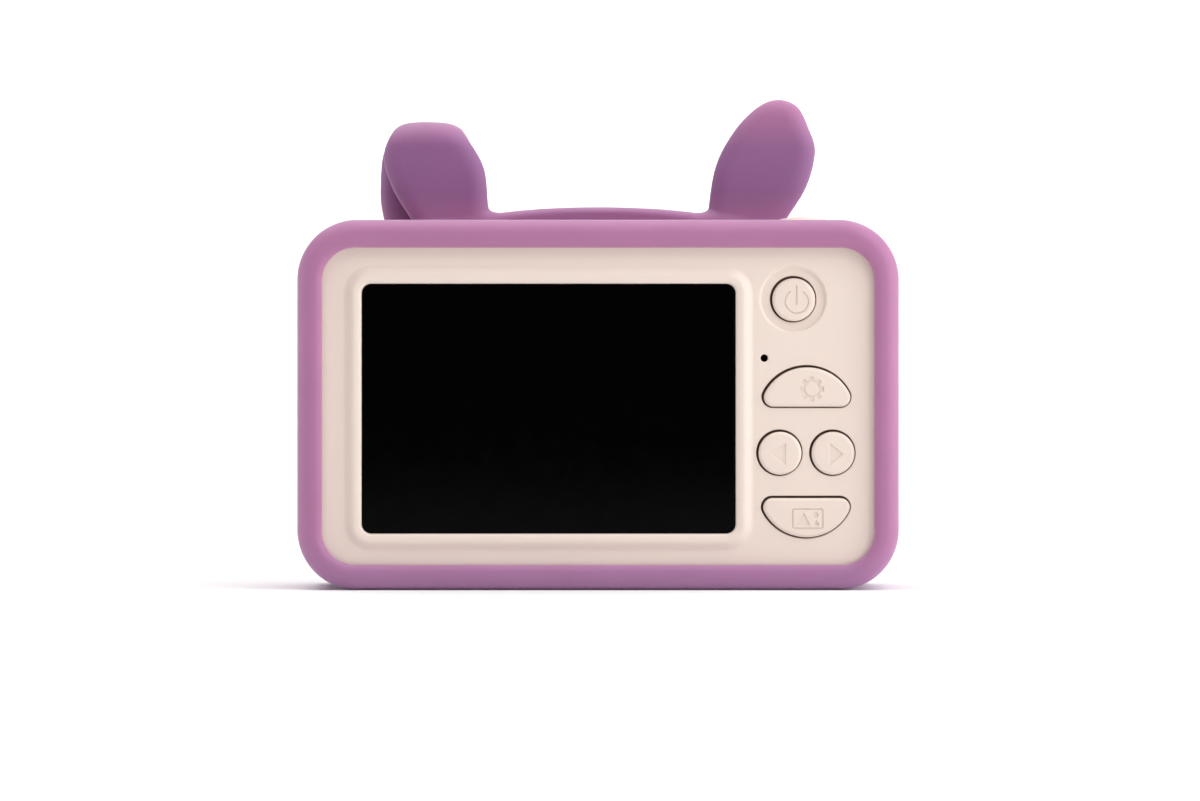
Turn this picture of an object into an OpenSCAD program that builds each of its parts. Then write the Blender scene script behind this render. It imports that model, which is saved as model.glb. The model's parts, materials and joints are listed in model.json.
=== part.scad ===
// Children's digital camera in a soft silicone cover with two animal ears.
// X runs along the width, Z is up, and the screen looks towards -Y.
// The origin is at the middle of the base. All sizes are in millimetres.

/* [Silicone cover] */
// Width over the cover
cover_w = 100; // [98:0.5:104]
// Height of the cover without the ears
cover_h = 61.5; // [60.5:0.5:64]
// Wall of the cover
cover_wall = 2.4; // [2:0.1:2.8]
// Corner radius of the cover seen from behind
cover_r = 10; // [9:0.5:11]
// How far the lip stands proud of the rear plate
lip = 1.8; // [1.6:0.1:2]
// Width of the opening inside the lip
opening_w = 91.6; // [90.6:0.2:92]
// Height of the opening inside the lip
opening_h = 52.6; // [51.6:0.2:53]
// Corner radius of the opening
opening_r = 5.5; // [5:0.1:6]
// Thickness of the ears
ear_t = 3.6; // [3:0.1:3.6]

/* [Case] */
// Rear face of the rear plate
plate_y = -16.2; // [-16.4:0.1:-16]
// Front face of the front shell
case_front = 9.2; // [9:0.1:9.4]
// Joint between the two shells
split_y = 3; // [2.6:0.1:3.4]
// Side walls of the shells
case_wall = 1.8; // [1.6:0.1:2]
// Thickness of the rear plate and of the front plate
plate_t = 2; // [1.8:0.1:2.2]

/* [Screen] */
// Width of the screen window
window_w = 62.1; // [60:0.1:62.4]
// Height of the screen window
window_h = 41.5; // [40.4:0.1:41.8]
// Corner radius of the window
window_r = 1.6; // [1.2:0.1:2]
// Middle of the window, left of the centre line
window_x = -8.2; // [-8.6:0.1:-8]
// Height of the middle of the window
window_z = 30.1; // [29.8:0.1:30.4]

/* [Buttons] */
// Radius of the round button holes
round_r = 3.85; // [3.6:0.05:4]
// Radius of the long arc of the half-moon button holes
moon_r = 8.2; // [8:0.05:8.3]
// Gap around the caps
cap_gap = 0.28; // [0.2:0.02:0.34]
// How far the caps stand proud of the rear plate
cap_proud = 0.5; // [0.3:0.1:0.7]
// Radius of the shutter button
shutter_r = 4.8; // [4.4:0.1:5]

/* [Lens] */
// Height of the lens axis
lens_z = 30.75; // [30:0.25:31.5]
// Outer radius of the lens ring
ring_r = 14.6; // [14:0.1:15]
// Front of the lens ring
ring_front = 18; // [17.6:0.1:18]

/* [Hidden] */
$fn = 72;
small = 0.01;
mid_z = cover_h / 2;

// Case outline, which fills the cover
case_w = cover_w - 2 * cover_wall;
case_h = cover_h - 2 * cover_wall;
case_r = cover_r - cover_wall;
inner_r = case_r - case_wall;
rear_y = plate_y - lip;
plate_back = plate_y + plate_t;
front_inner = case_front - plate_t;
cover_front = case_front + cover_wall;
rear_round = 2.4;
front_round = 4;
opening_z = 30.5;

// Head panel, ears and other relief of the cover
panel_front = cover_front + 1.4;
arch_r = 105;
arch_top = 65.2;
panel_side = 42;
panel_low = 2;
muzzle_r = 16.8;
muzzle_tube = 1.5;
lens_hole_r = ring_r + 0.4;
eye_x = 25;
eye_z = 42;
eye_r = 2.6;
eye_deep = 0.6;
ear_back = 8;
right_ear_back = 8.6;
ear_root = 50;
fold_y = 12.6;
fold_in = fold_y - ear_back - ear_t;
fold_z = 75.1;

// Screen stack, from the ledge under the window to the backlight
bezel_w = 3.3;
bezel_h = 0.8;
bezel_cut = 0.25;
window_t = 1.2;
window_face = plate_y - 0.15;
tape_t = 0.2;
ledge_y = window_face + window_t + tape_t;
view_w = 54;
view_h = 38.5;
window_fit = 0.08;
lcd_fit = 0.3;
gasket_t = 0.3;
lcd_w = 60.3;
lcd_h = 42.7;
panel_t = 1.3;
light_t = 1.1;
lcd_y = plate_back + gasket_t;
light_y = lcd_y + panel_t;
rib_t = 1;
rib_y = light_y + light_t - 0.1;
flex_t = 0.2;
flex_w = 14;
flex_turn = 1.15;
flex_rise = 4;
flex_end_z = window_z - lcd_h / 2 - 0.75 + flex_rise;

// Main board with its tact switches facing the screen side
board_y = -9.6;
board_t = 1.2;
board_front = board_y + board_t;
board_w = 88;
board_h = 50;
switch_side = 4.6;
switch_t = 1.6;
plunger_r = 1.1;
plunger_t = 0.8;
plunger_fit = 0.05;
stem_r = 1.6;
flange_t = 0.8;
flange_over = 0.7;
switch_y = board_y - switch_t;
plunger_y = switch_y - plunger_t;
moon_corner = 1.85;
moon_flat = 1.1;

// The caps hang a little low and to one side in their holes
cap_sag = [0.12, -0.1];

// Button places, each [x, z]
power_at = [32.4, 48.3];
settings_at = [34.6, 29.15];
left_at = [30.1, 22.8];
right_at = [38.9, 22.8];
gallery_at = [34.5, 16.75];
settings_switch_at = [34.6, 33.2];
gallery_switch_at = [34.5, 12.7];
dish_r = 5.45;
dish_deep = 0.5;
power_face = plate_y - 0.25;
mic_at = [27.6, 38.5];
mic_r = 0.65;

// Shutter button on the top face, pressed towards -Z
shutter_at = [34.7, -3.5];
shutter_top = 62.5;
shutter_dome_r = 18;
case_top = cover_h - cover_wall;
top_inner = case_top - case_wall;
shutter_stem = 1.7;
shutter_hole_r = shutter_r + 1.1;
shutter_flange = 0.5;
shelf_t = 1.2;
shutter_switch_z = top_inner - flange_t - shutter_stem - plunger_t - switch_t;
shutter_board_t = 1;
shutter_board_left = 6.1;

// Screws
case_screw_at = [for (sx = [-1, 1], z = [7.4, 54.1]) [42.2 * sx, z]];
board_screw_at = [[-41.6, 12.8], [-41.6, 48.8], [24.7, 17], [24.7, 44]];
case_boss_r = 2.6;
case_boss_hole = 1.05;
board_boss_r = 1.4;
board_boss_hole = 0.75;
screw_fit = 0.05;
screw_sink = 1.2;
case_screw_head = [2.1, 1.1];
board_screw_head = [1.4, 0.8];

// Lens and sensor on the front side, each length measured along Y
sensor_board_y = -5;
sensor_board_t = 1;
sensor_board_side = 24;
sensor_side = 8;
sensor_t = 1.2;
holder_side = 17;
holder_back = sensor_board_y + sensor_board_t;
holder_front = 5;
barrel_r = 6.5;
barrel_bore = 4.6;
barrel_wall = 0.9;
barrel_back = -1;
barrel_front = 13.6;
barrel_fit = 0.05;
barrel_flange = [1.6, 5];
barrel_seat = [3, 2.5];
lens_window_r = 10;
lens_window_y = 15.2;
lens_window_t = 1;
module_screw_at = [for (sx = [-1, 1]) [9.9 * sx, 21.5]];
module_post_r = 1.8;

// Power, sound, light and ports
battery = [30, 6, 38];
battery_at = [-29, 31];
battery_tape_t = 0.4;
speaker_r = 10;
speaker_t = 4;
speaker_at = [31, 18];
speaker_hole_r = 0.8;
speaker_hole_ring = 3.2;
flash_at = [0, 53.2];
flash_r = 2.2;
flash_hole_r = 2.7;
port_y = -6.6;
port_z = 37.6;
usb = [7.4, 3.2, 9];
usb_wall = 0.35;
usb_fit = 0.15;
card_z = 23;
card = [15, 1, 11];
card_fit = 0.25;
card_out = 0.2;
socket = [15.4, 2.6, 14];
socket_fit = 0.15;
port_cut = [7.4, 29, 30.4];
port_cut_r = 2.6;
port_mouth_x = -case_w / 2 + 0.2;
wire_r = 0.5;
plug_t = 3;
battery_plug_z = 52.6;
sensor_flex_z = 14.5;

// Points along an arc about c
function arc(c, r, from, to, steps) =
    [for (i = [0:steps]) let (a = from + (to - from) * i / steps) c + r * [cos(a), sin(a)]];

// Outline drawn in X and Z, made solid from y0 to y1
module slab(y0, y1) {
    translate([0, y1, 0])
        rotate([90, 0, 0])
            linear_extrude(y1 - y0)
                children();
}

// Outline drawn in Y and Z, made solid from x0 to x1
module slice(x0, x1) {
    translate([x0, 0, 0])
        rotate([90, 0, 90])
            linear_extrude(x1 - x0)
                children();
}

// Round bar along Y at p = [x, z]
module bar(p, r, y0, y1) {
    translate([p[0], y1, p[1]])
        rotate([90, 0, 0])
            cylinder(r = r, h = y1 - y0);
}

// Solid of turned shape along Y at p, its profile drawn as [radius, -y]
module turned(p) {
    translate([p[0], 0, p[1]])
        rotate([90, 0, 0])
            rotate_extrude()
                children();
}

// Box from its low corner
module block(low, size) {
    translate(low)
        cube(size);
}

module rounded(w, h, r) {
    square([w - 2 * r, h], center = true);
    square([w, h - 2 * r], center = true);
    for (sx = [-1, 1], sz = [-1, 1])
        translate([sx * (w / 2 - r), sz * (h / 2 - r)])
            circle(r);
}

module rounded_at(x, z, w, h, r) {
    translate([x, z])
        rounded(w, h, r);
}

// Profile swept round a rounded rectangle at [x, z]. The profile is drawn as
// [distance from the corner's centre, -y], so r in it is the outline itself.
module swept(x, z, w, h, r) {
    translate([x, 0, z])
        rotate([90, 0, 0])
            for (i = [0:3]) {
                sx = i == 0 || i == 3 ? 1 : -1;
                sz = i < 2 ? 1 : -1;
                run = i % 2 == 0 ? h - 2 * r : w - 2 * r;
                out = i % 2 == 0 ? w / 2 - r : h / 2 - r;
                translate([sx * (w / 2 - r), sz * (h / 2 - r), 0])
                    rotate(90 * i)
                        rotate_extrude(angle = 90)
                            children();
                rotate(90 * i)
                    translate([out, run / 2, 0])
                        rotate([90, 0, 0])
                            linear_extrude(run)
                                children();
            }
}

// ---- Silicone cover ----

module cover_block() {
    slab(rear_y + rear_round, cover_front - front_round)
        rounded_at(0, mid_z, cover_w, cover_h, cover_r);
    swept(0, mid_z, cover_w, cover_h, cover_r)
        translate([cover_r - rear_round, -rear_y - rear_round])
            circle(rear_round);
    slab(rear_y, rear_y + rear_round)
        rounded_at(0, mid_z, cover_w - 2 * rear_round, cover_h - 2 * rear_round,
                   cover_r - rear_round);
    swept(0, mid_z, cover_w, cover_h, cover_r)
        translate([cover_r - front_round, front_round - cover_front])
            circle(front_round);
    slab(cover_front - front_round, cover_front)
        rounded_at(0, mid_z, cover_w - 2 * front_round, cover_h - 2 * front_round,
                   cover_r - front_round);
}

// Raised face with the arch that shows above the top of the cover
module head_panel() {
    slab(case_front, panel_front)
        intersection() {
            translate([0, arch_top - arch_r])
                circle(arch_r);
            rounded_at(0, arch_top / 2 + panel_low, 2 * panel_side, arch_top - panel_low, cover_r);
        }
}

module right_ear_outline() {
    hull() {
        translate([31.2, 79.6]) circle(3.7);
        translate([32.2, 74.4]) circle(4.8);
        translate([26.2, 72.8]) circle(5.9);
        translate([19.4, 58]) circle(0.8);
        translate([30.6, 58]) circle(0.8);
    }
}

module left_ear_outline() {
    hull() {
        translate([-31.6, 74.3]) circle(5.3);
        translate([-28.1, 72.9]) circle(6.8);
        translate([-31.2, 58]) circle(0.8);
        translate([-19.3, 58]) circle(0.8);
    }
}

module left_flap_outline() {
    hull() {
        translate([-31.6, 74.3]) circle(5.3);
        translate([-28.1, 72.9]) circle(6.8);
        translate([-31.9, 67.5]) circle(5.9);
        translate([-31, 58.6]) circle(3);
    }
}

// Side view of the sheet that folds forwards over the top
module fold_profile() {
    translate([ear_back, ear_root]) square([ear_t, fold_z - ear_root]);
    translate([fold_y + fold_in, ear_root]) square([ear_t, fold_z - ear_root]);
    intersection() {
        translate([fold_y, fold_z])
            difference() {
                circle(fold_in + ear_t);
                circle(fold_in);
            }
        translate([0, fold_z]) square([2 * fold_y, 2 * fold_y]);
    }
}

module left_ear() {
    intersection() {
        slice(-45, -15) fold_profile();
        union() {
            slab(ear_back, fold_y) left_ear_outline();
            slab(fold_y, 2 * fold_y) left_flap_outline();
        }
    }
}

module speaker_holes(y0, y1) {
    bar(speaker_at, speaker_hole_r, y0, y1);
    for (i = [0:5])
        bar(speaker_at + speaker_hole_ring * [cos(60 * i), sin(60 * i)], speaker_hole_r, y0, y1);
}

module silicone_cover() {
    color([0.72, 0.48, 0.65]) {
        difference() {
            union() {
                cover_block();
                head_panel();
                slab(right_ear_back, right_ear_back + ear_t) right_ear_outline();
                left_ear();
                turned([0, lens_z])
                    translate([muzzle_r, -panel_front])
                        circle(muzzle_tube);
            }
            slab(plate_y, case_front)
                rounded_at(0, mid_z, case_w, case_h, case_r);
            slab(rear_y - 1, plate_y + 1)
                rounded_at(0, opening_z, opening_w + lip, opening_h + lip, opening_r + lip / 2);
            bar([0, lens_z], lens_hole_r, case_front - 1, panel_front + 4);
            bar(flash_at, flash_hole_r, case_front - 1, panel_front + 1);
            speaker_holes(case_front - 1, panel_front + 1);
            for (side = [-1, 1])
                bar([side * eye_x, eye_z], eye_r, panel_front - eye_deep, panel_front + 1);
            translate([shutter_at[0], shutter_at[1], case_top - 1])
                cylinder(r = shutter_hole_r, h = cover_wall + 2);
            slice(-cover_w / 2 - 1, -case_w / 2 + 1)
                translate([port_y, port_cut[2]])
                    rounded(port_cut[0], port_cut[1], port_cut_r);
        }
        swept(0, opening_z, opening_w + lip, opening_h + lip, opening_r + lip / 2)
            translate([opening_r + lip / 2, lip / 2 - plate_y])
                circle(lip / 2);
    }
}

// ---- Case ----

// Segment of a circle about the origin with its two corners rounded
module half_moon(grow) {
    rise = moon_flat + moon_corner;
    across = sqrt(pow(moon_r - moon_corner, 2) - pow(rise, 2));
    tilt = atan2(rise, across);
    corner = moon_corner + grow;
    polygon(concat(
        arc([across, rise], corner, -90, tilt, 8),
        arc([0, 0], moon_r + grow, tilt + 2, 178 - tilt, 32),
        arc([-across, rise], corner, 180 - tilt, 270, 8)));
}

module settings_shape(grow) {
    translate(settings_at) half_moon(grow);
}

module gallery_shape(grow) {
    translate(gallery_at)
        mirror([0, 1])
            half_moon(grow);
}

// Tube wall with a hole, reaching from y0 to y1
module boss(p, r, hole, y0, y1) {
    difference() {
        bar(p, r, y0, y1);
        bar(p, hole, y0 - 1, y1 + 1);
    }
}

module rear_shell() {
    color([0.91, 0.84, 0.79])
        difference() {
            union() {
                difference() {
                    slab(plate_y, split_y)
                        rounded_at(0, mid_z, case_w, case_h, case_r);
                    slab(plate_back, split_y + 1)
                        rounded_at(0, mid_z, case_w - 2 * case_wall, case_h - 2 * case_wall,
                                   inner_r);
                }
                swept(window_x, window_z, window_w, window_h, window_r)
                    translate([window_r + bezel_w / 2 - bezel_cut, -plate_y])
                        bezel_profile();
                difference() {
                    slab(plate_back, rib_y)
                        rounded_at(window_x, window_z, lcd_w + 2 * rib_t + lcd_fit,
                                   lcd_h + 2 * rib_t + lcd_fit, 1);
                    slab(plate_back - 1, rib_y + 1)
                        square_at(window_x, window_z, lcd_w + lcd_fit, lcd_h + lcd_fit);
                    block([window_x - flex_w / 2 - 1, plate_back, 0], [flex_w + 2, 5, 12]);
                }
                for (p = case_screw_at)
                    bar(p, case_boss_r, plate_back, split_y);
                for (p = board_screw_at)
                    bar(p, board_boss_r, plate_back, board_y);
                shutter_shelf();
            }
            slab(plate_y - 1, ledge_y)
                rounded_at(window_x, window_z, window_w, window_h, window_r);
            slab(plate_y - 1, plate_back + 1)
                square_at(window_x, window_z, view_w, view_h);
            bar(power_at, dish_r, plate_y - 1, plate_y + dish_deep);
            for (p = [power_at, left_at, right_at])
                bar(p, round_r, plate_y - 1, plate_back + 1);
            slab(plate_y - 1, plate_back + 1) settings_shape(0);
            slab(plate_y - 1, plate_back + 1) gallery_shape(0);
            bar(mic_at, mic_r, plate_y - 1, plate_back + 1);
            for (p = case_screw_at)
                bar(p, case_boss_hole, plate_back + 1, split_y + 1);
            for (p = board_screw_at)
                bar(p, board_boss_hole, plate_back + 0.5, board_y + 1);
            translate([shutter_at[0], shutter_at[1], top_inner - 1])
                cylinder(r = shutter_r + cap_gap, h = case_wall + 2);
            side_slot(port_z, usb[1] + 2 * usb_fit, usb[2] + 2 * usb_fit);
            side_slot(card_z, card[1] + 2 * card_fit, card[2] + 2 * card_fit);
        }
}

// Slot through the left side wall at height z
module side_slot(z, wide, high) {
    block([-case_w / 2 - 1, port_y - wide / 2, z - high / 2], [case_wall + 2, wide, high]);
}

module square_at(x, z, w, h) {
    translate([x, z])
        square([w, h], center = true);
}

// Low round ridge that frames the window
module bezel_profile() {
    r = (pow(bezel_w / 2, 2) + pow(bezel_h, 2)) / (2 * bezel_h);
    intersection() {
        translate([0, bezel_h - r]) circle(r);
        translate([-bezel_w / 2, -0.5]) square([bezel_w, 2]);
    }
}

// Bracket that hangs from the top wall and a ledge on the side wall, which
// carry the two ends of the shutter board
module shutter_shelf() {
    shelf_z = shutter_switch_z - shutter_board_t;
    y0 = board_front + 0.4;
    deep = split_y - 2 - y0;
    x0 = shutter_at[0] - shutter_board_left - shelf_t - 0.1;
    x1 = shutter_at[0] + 3;
    block([x0, y0, shelf_z - 2], [shelf_t, deep, top_inner - shelf_z + 2 + small]);
    block([x0, y0, shelf_z - 2], [shelf_t + 1.4, deep, 2]);
    block([x1, y0, shelf_z - 2], [case_w / 2 - case_wall - x1 + 1, deep, 2]);
}

module front_shell() {
    tongue = 0.8;
    tongue_long = 1.5;
    tongue_fit = 0.1;
    color([0.91, 0.84, 0.79])
        difference() {
            union() {
                difference() {
                    slab(split_y, case_front)
                        rounded_at(0, mid_z, case_w, case_h, case_r);
                    slab(split_y - 1, front_inner)
                        rounded_at(0, mid_z, case_w - 2 * case_wall, case_h - 2 * case_wall,
                                   inner_r);
                }
                difference() {
                    slab(split_y - tongue_long, front_inner + small)
                        rounded_at(0, mid_z, case_w - 2 * (case_wall + tongue_fit),
                                   case_h - 2 * (case_wall + tongue_fit), inner_r - tongue_fit);
                    slab(split_y - tongue_long - 1, front_inner + 1)
                        rounded_at(0, mid_z, case_w - 2 * (case_wall + tongue_fit + tongue),
                                   case_h - 2 * (case_wall + tongue_fit + tongue),
                                   inner_r - tongue_fit - tongue);
                    for (p = case_screw_at)
                        bar(p, case_boss_r + 0.3, split_y - tongue_long - 1, split_y);
                    block([shutter_at[0] - 6, split_y - tongue_long - 1, top_inner - 2],
                          [12, tongue_long + 1, 3]);
                }
                for (p = case_screw_at)
                    bar(p, case_boss_r + 0.4, split_y, front_inner + small);
                for (p = module_screw_at)
                    bar(p, module_post_r, sensor_board_y + sensor_board_t, front_inner + small);
                boss(speaker_at, speaker_r + 1.2, speaker_r + 0.2, front_inner - 2,
                     front_inner + small);
                boss(flash_at, flash_r + 1.6, flash_r + 0.6, front_inner - 1.5,
                     front_inner + small);
            }
            bar([0, lens_z], lens_window_r + 0.2, split_y, case_front + 1);
            bar(flash_at, flash_r + 0.1, front_inner - 1, case_front + 1);
            bar(flash_at, flash_r + 0.6, front_inner - 2, front_inner + 0.6);
            speaker_holes(front_inner - 1, case_front + 1);
            for (p = case_screw_at)
                bar(p, case_boss_hole + 0.15, split_y - 1, case_front + 1);
            for (p = case_screw_at)
                bar(p, case_screw_head[0] + 0.2, case_front - screw_sink, case_front + 1);
            for (p = module_screw_at)
                bar(p, board_boss_hole, sensor_board_y, front_inner - 1);
        }
}

// ---- Screen ----

module screen_window() {
    color([0.02, 0.02, 0.03])
        slab(window_face, window_face + window_t)
            rounded_at(window_x, window_z, window_w - 2 * window_fit, window_h - 2 * window_fit,
                       window_r - window_fit);
}

module window_tape() {
    color([0.1, 0.1, 0.1])
        slab(window_face + window_t, ledge_y)
            difference() {
                rounded_at(window_x, window_z, window_w - 0.4, window_h - 0.4, window_r - 0.2);
                square_at(window_x, window_z, view_w + 1, view_h + 0.6);
            }
}

module lcd_gasket() {
    color([0.15, 0.15, 0.16])
        slab(plate_back, lcd_y)
            difference() {
                square_at(window_x, window_z, lcd_w - 0.4, lcd_h - 0.4);
                square_at(window_x, window_z, view_w, view_h);
            }
}

module lcd_panel() {
    color([0.08, 0.09, 0.12])
        slab(lcd_y, light_y)
            square_at(window_x, window_z, lcd_w, lcd_h);
}

// Backlight tray, with a shallow rim pressed round its back
module lcd_backlight() {
    color([0.8, 0.81, 0.82])
        difference() {
            slab(light_y, light_y + light_t)
                rounded_at(window_x, window_z, lcd_w, lcd_h, 0.8);
            slab(light_y + light_t - 0.3, light_y + light_t + 1)
                rounded_at(window_x, window_z, lcd_w - 2, lcd_h - 2, 0.5);
        }
}

// Flat cable that turns under the panel and up to the main board
module lcd_flex() {
    low = window_z - lcd_h / 2;
    turn_z = flex_end_z - flex_rise;
    turn_y = light_y - 0.15 + flex_turn;
    color([0.85, 0.5, 0.15])
        slice(window_x - flex_w / 2, window_x + flex_w / 2) {
            translate([turn_y - flex_turn - flex_t, turn_z]) square([flex_t, low - turn_z]);
            translate([turn_y + flex_turn, turn_z]) square([flex_t, flex_rise]);
            intersection() {
                translate([turn_y, turn_z])
                    difference() {
                        circle(flex_turn + flex_t);
                        circle(flex_turn);
                    }
                translate([turn_y - 5, turn_z - 5]) square([10, 5]);
            }
        }
}

// ---- Buttons ----

// Round cap with a flange that stops it behind the plate
module round_cap(p, face) {
    r = round_r - cap_gap;
    edge = 0.45;
    color([0.91, 0.84, 0.79])
        turned(p + cap_sag) {
            translate([0, -plate_back - flange_t]) square([r + flange_over, flange_t]);
            translate([0, -plate_back - small]) square([r, plate_back - face - edge + small]);
            translate([0, -face - edge - small]) square([r - edge, edge + small]);
            translate([r - edge, -face - edge]) circle(edge);
            translate([0, -plunger_y]) square([stem_r, plunger_y - plate_back]);
        }
}

module moon_cap(switch_at) {
    edge = 0.3;
    color([0.91, 0.84, 0.79])
        translate([cap_sag[0], 0, cap_sag[1]]) {
            slab(plate_y - cap_proud + edge, plate_back + small) children(0);
            slab(plate_y - cap_proud, plate_y - cap_proud + edge) children(1);
            slab(plate_back, plate_back + flange_t) children(2);
            bar(switch_at, stem_r, plate_back, plunger_y);
        }
}

module power_cap() {
    round_cap(power_at, power_face);
}

module left_cap() {
    round_cap(left_at, plate_y - cap_proud);
}

module right_cap() {
    round_cap(right_at, plate_y - cap_proud);
}

module settings_cap() {
    moon_cap(settings_switch_at) {
        settings_shape(-cap_gap);
        settings_shape(-cap_gap - 0.3);
        settings_shape(flange_over - cap_gap);
    }
}

module gallery_cap() {
    moon_cap(gallery_switch_at) {
        gallery_shape(-cap_gap);
        gallery_shape(-cap_gap - 0.3);
        gallery_shape(flange_over - cap_gap);
    }
}

module shutter_cap() {
    edge_drop = shutter_dome_r - sqrt(pow(shutter_dome_r, 2) - pow(shutter_r, 2));
    stem_low = top_inner - flange_t - shutter_stem;
    color([0.91, 0.84, 0.79])
        translate([shutter_at[0], shutter_at[1], 0])
            rotate_extrude() {
                translate([0, top_inner - small])
                    square([shutter_r, shutter_top - edge_drop - top_inner + small]);
                translate([0, top_inner - flange_t])
                    square([shutter_r + shutter_flange, flange_t]);
                translate([0, stem_low]) square([stem_r, shutter_stem + small]);
                intersection() {
                    translate([0, shutter_top - shutter_dome_r]) circle(shutter_dome_r);
                    translate([0, shutter_top - edge_drop - small])
                        square([shutter_r, edge_drop + 1]);
                }
            }
}

// Plunger of a tact switch, which the cap's stem pushes
module plunger(p) {
    color([0.2, 0.2, 0.2])
        bar(p, plunger_r, plunger_y, switch_y + 0.4);
}

module power_plunger() {
    plunger(power_at);
}

module settings_plunger() {
    plunger(settings_switch_at);
}

module left_plunger() {
    plunger(left_at);
}

module right_plunger() {
    plunger(right_at);
}

module gallery_plunger() {
    plunger(gallery_switch_at);
}

module shutter_plunger() {
    color([0.2, 0.2, 0.2])
        translate([shutter_at[0], shutter_at[1], shutter_switch_z + switch_t - 0.4])
            cylinder(r = plunger_r, h = plunger_t + 0.4);
}

// Switch body with the well that the plunger sinks into
module rear_switches() {
    well = 1;
    color([0.75, 0.75, 0.77])
        for (p = [power_at, settings_switch_at, left_at, right_at, gallery_switch_at])
            difference() {
                slab(switch_y, board_y)
                    square_at(p[0], p[1], switch_side, switch_side);
                bar(p, plunger_r + plunger_fit, switch_y - 1, switch_y + well);
            }
}

module shutter_switch() {
    well = 1;
    color([0.75, 0.75, 0.77])
        translate([shutter_at[0], shutter_at[1], shutter_switch_z])
            difference() {
                translate([-switch_side / 2, -switch_side / 2, 0])
                    cube([switch_side, switch_side, switch_t]);
                translate([0, 0, switch_t - well])
                    cylinder(r = plunger_r + plunger_fit, h = well + 1);
            }
}

module shutter_board() {
    color([0.1, 0.35, 0.2])
        block([shutter_at[0] - shutter_board_left, board_front + 0.6,
               shutter_switch_z - shutter_board_t],
              [shutter_board_left + 4, 9, shutter_board_t]);
}

// ---- Main board ----

module main_board() {
    color([0.1, 0.35, 0.2])
        difference() {
            slab(board_y, board_front)
                rounded_at(0, mid_z, board_w, board_h, 2);
            for (p = case_screw_at)
                bar(p, case_boss_r + 0.4, board_y - 1, board_front + 1);
            for (p = board_screw_at)
                bar(p, board_boss_hole + 0.15, board_y - 1, board_front + 1);
        }
}

module chip(p, side, t) {
    slab(board_front, board_front + t)
        square_at(p[0], p[1], side, side);
}

module processor() {
    color([0.08, 0.08, 0.09])
        chip([12, 46], 12, 1.2);
}

module memory_chip() {
    color([0.08, 0.08, 0.09])
        chip([-2, 49], 8, 1);
}

module microphone() {
    color([0.8, 0.72, 0.45])
        slab(board_y - 1.1, board_y)
            square_at(mic_at[0], mic_at[1], 2.8, 3.4);
}

// Sockets of the two flat cables and of the battery and speaker leads
module board_connectors() {
    color([0.85, 0.83, 0.78]) {
        slab(board_y - 1.3, board_y)
            square_at(window_x, flex_end_z + 1.5, flex_w + 3, 3);
        slab(board_front, board_front + 2.4)
            square_at(0, sensor_flex_z - 1.75, 12, 3.5);
        for (p = [[-19.25, battery_plug_z], [20, 12]])
            slab(board_front, board_front + plug_t)
                square_at(p[0], p[1], 5, 3.4);
    }
}

module usb_port() {
    color([0.75, 0.76, 0.78])
        difference() {
            block([port_mouth_x, port_y - usb[1] / 2, port_z - usb[2] / 2], usb);
            block([port_mouth_x - 1, port_y - usb[1] / 2 + usb_wall,
                   port_z - usb[2] / 2 + usb_wall],
                  [usb[0], usb[1] - 2 * usb_wall, usb[2] - 2 * usb_wall]);
        }
    color([0.1, 0.1, 0.1])
        block([port_mouth_x + 1, port_y - 0.35, port_z - usb[2] / 2 + 1],
              [usb[0] - 1.5, 0.7, usb[2] - 2]);
}

module card_socket() {
    wall = 0.3;
    inner_x = port_mouth_x + case_wall + 0.2;
    color([0.78, 0.79, 0.8])
        difference() {
            block([inner_x, board_front, card_z - socket[2] / 2], socket);
            block([inner_x - 1, port_y - card[1] / 2 - socket_fit,
                   card_z - card[2] / 2 - socket_fit],
                  [socket[0] + 1 - wall, card[1] + 2 * socket_fit, card[2] + 2 * socket_fit]);
        }
}

// Memory card, which pulls out through the side
module memory_card() {
    notch = [5, 1.2];
    outer_x = port_mouth_x - card_out;
    color([0.12, 0.12, 0.13])
        slab(port_y - card[1] / 2, port_y + card[1] / 2)
            difference() {
                translate([outer_x, card_z - card[2] / 2])
                    square([card[0], card[2]]);
                translate([outer_x + card[0] - notch[0], card_z + card[2] / 2 - notch[1]])
                    square([notch[0] + 1, notch[1] + 1]);
            }
}

// ---- Battery, speaker and flash ----

module battery_cell() {
    r = 1.5;
    color([0.7, 0.72, 0.75])
        slab(front_inner - battery_tape_t - battery[1], front_inner - battery_tape_t)
            rounded_at(battery_at[0], battery_at[1], battery[0], battery[2], r);
}

module battery_tape() {
    color([0.95, 0.95, 0.9])
        slab(front_inner - battery_tape_t, front_inner)
            square_at(battery_at[0], battery_at[1], battery[0] - 6, battery[2] - 8);
}

// Wire that rises out of [x, y, z0] to z1, turns and runs to y1
module wire(x, y, z0, z1, y1) {
    translate([x, y, z0]) cylinder(r = wire_r, h = z1 - z0);
    translate([x, y, z1]) sphere(wire_r);
    bar([x, z1], wire_r, y1, y);
}

module battery_lead() {
    y = front_inner - battery_tape_t - battery[1] / 2;
    color([0.75, 0.1, 0.1])
        wire(-20, y, battery_at[1] + battery[2] / 2, battery_plug_z, board_front + plug_t);
    color([0.1, 0.1, 0.1])
        wire(-18.5, y, battery_at[1] + battery[2] / 2, battery_plug_z, board_front + plug_t);
}

module speaker_unit() {
    color([0.2, 0.2, 0.22])
        turned(speaker_at) {
            translate([0, -front_inner]) square([speaker_r - 1, speaker_t - 1]);
            translate([0, 1 - front_inner]) square([speaker_r, speaker_t - 2]);
            translate([0, speaker_t - 1 - front_inner]) square([speaker_r - 3.5, 1]);
        }
}

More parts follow.
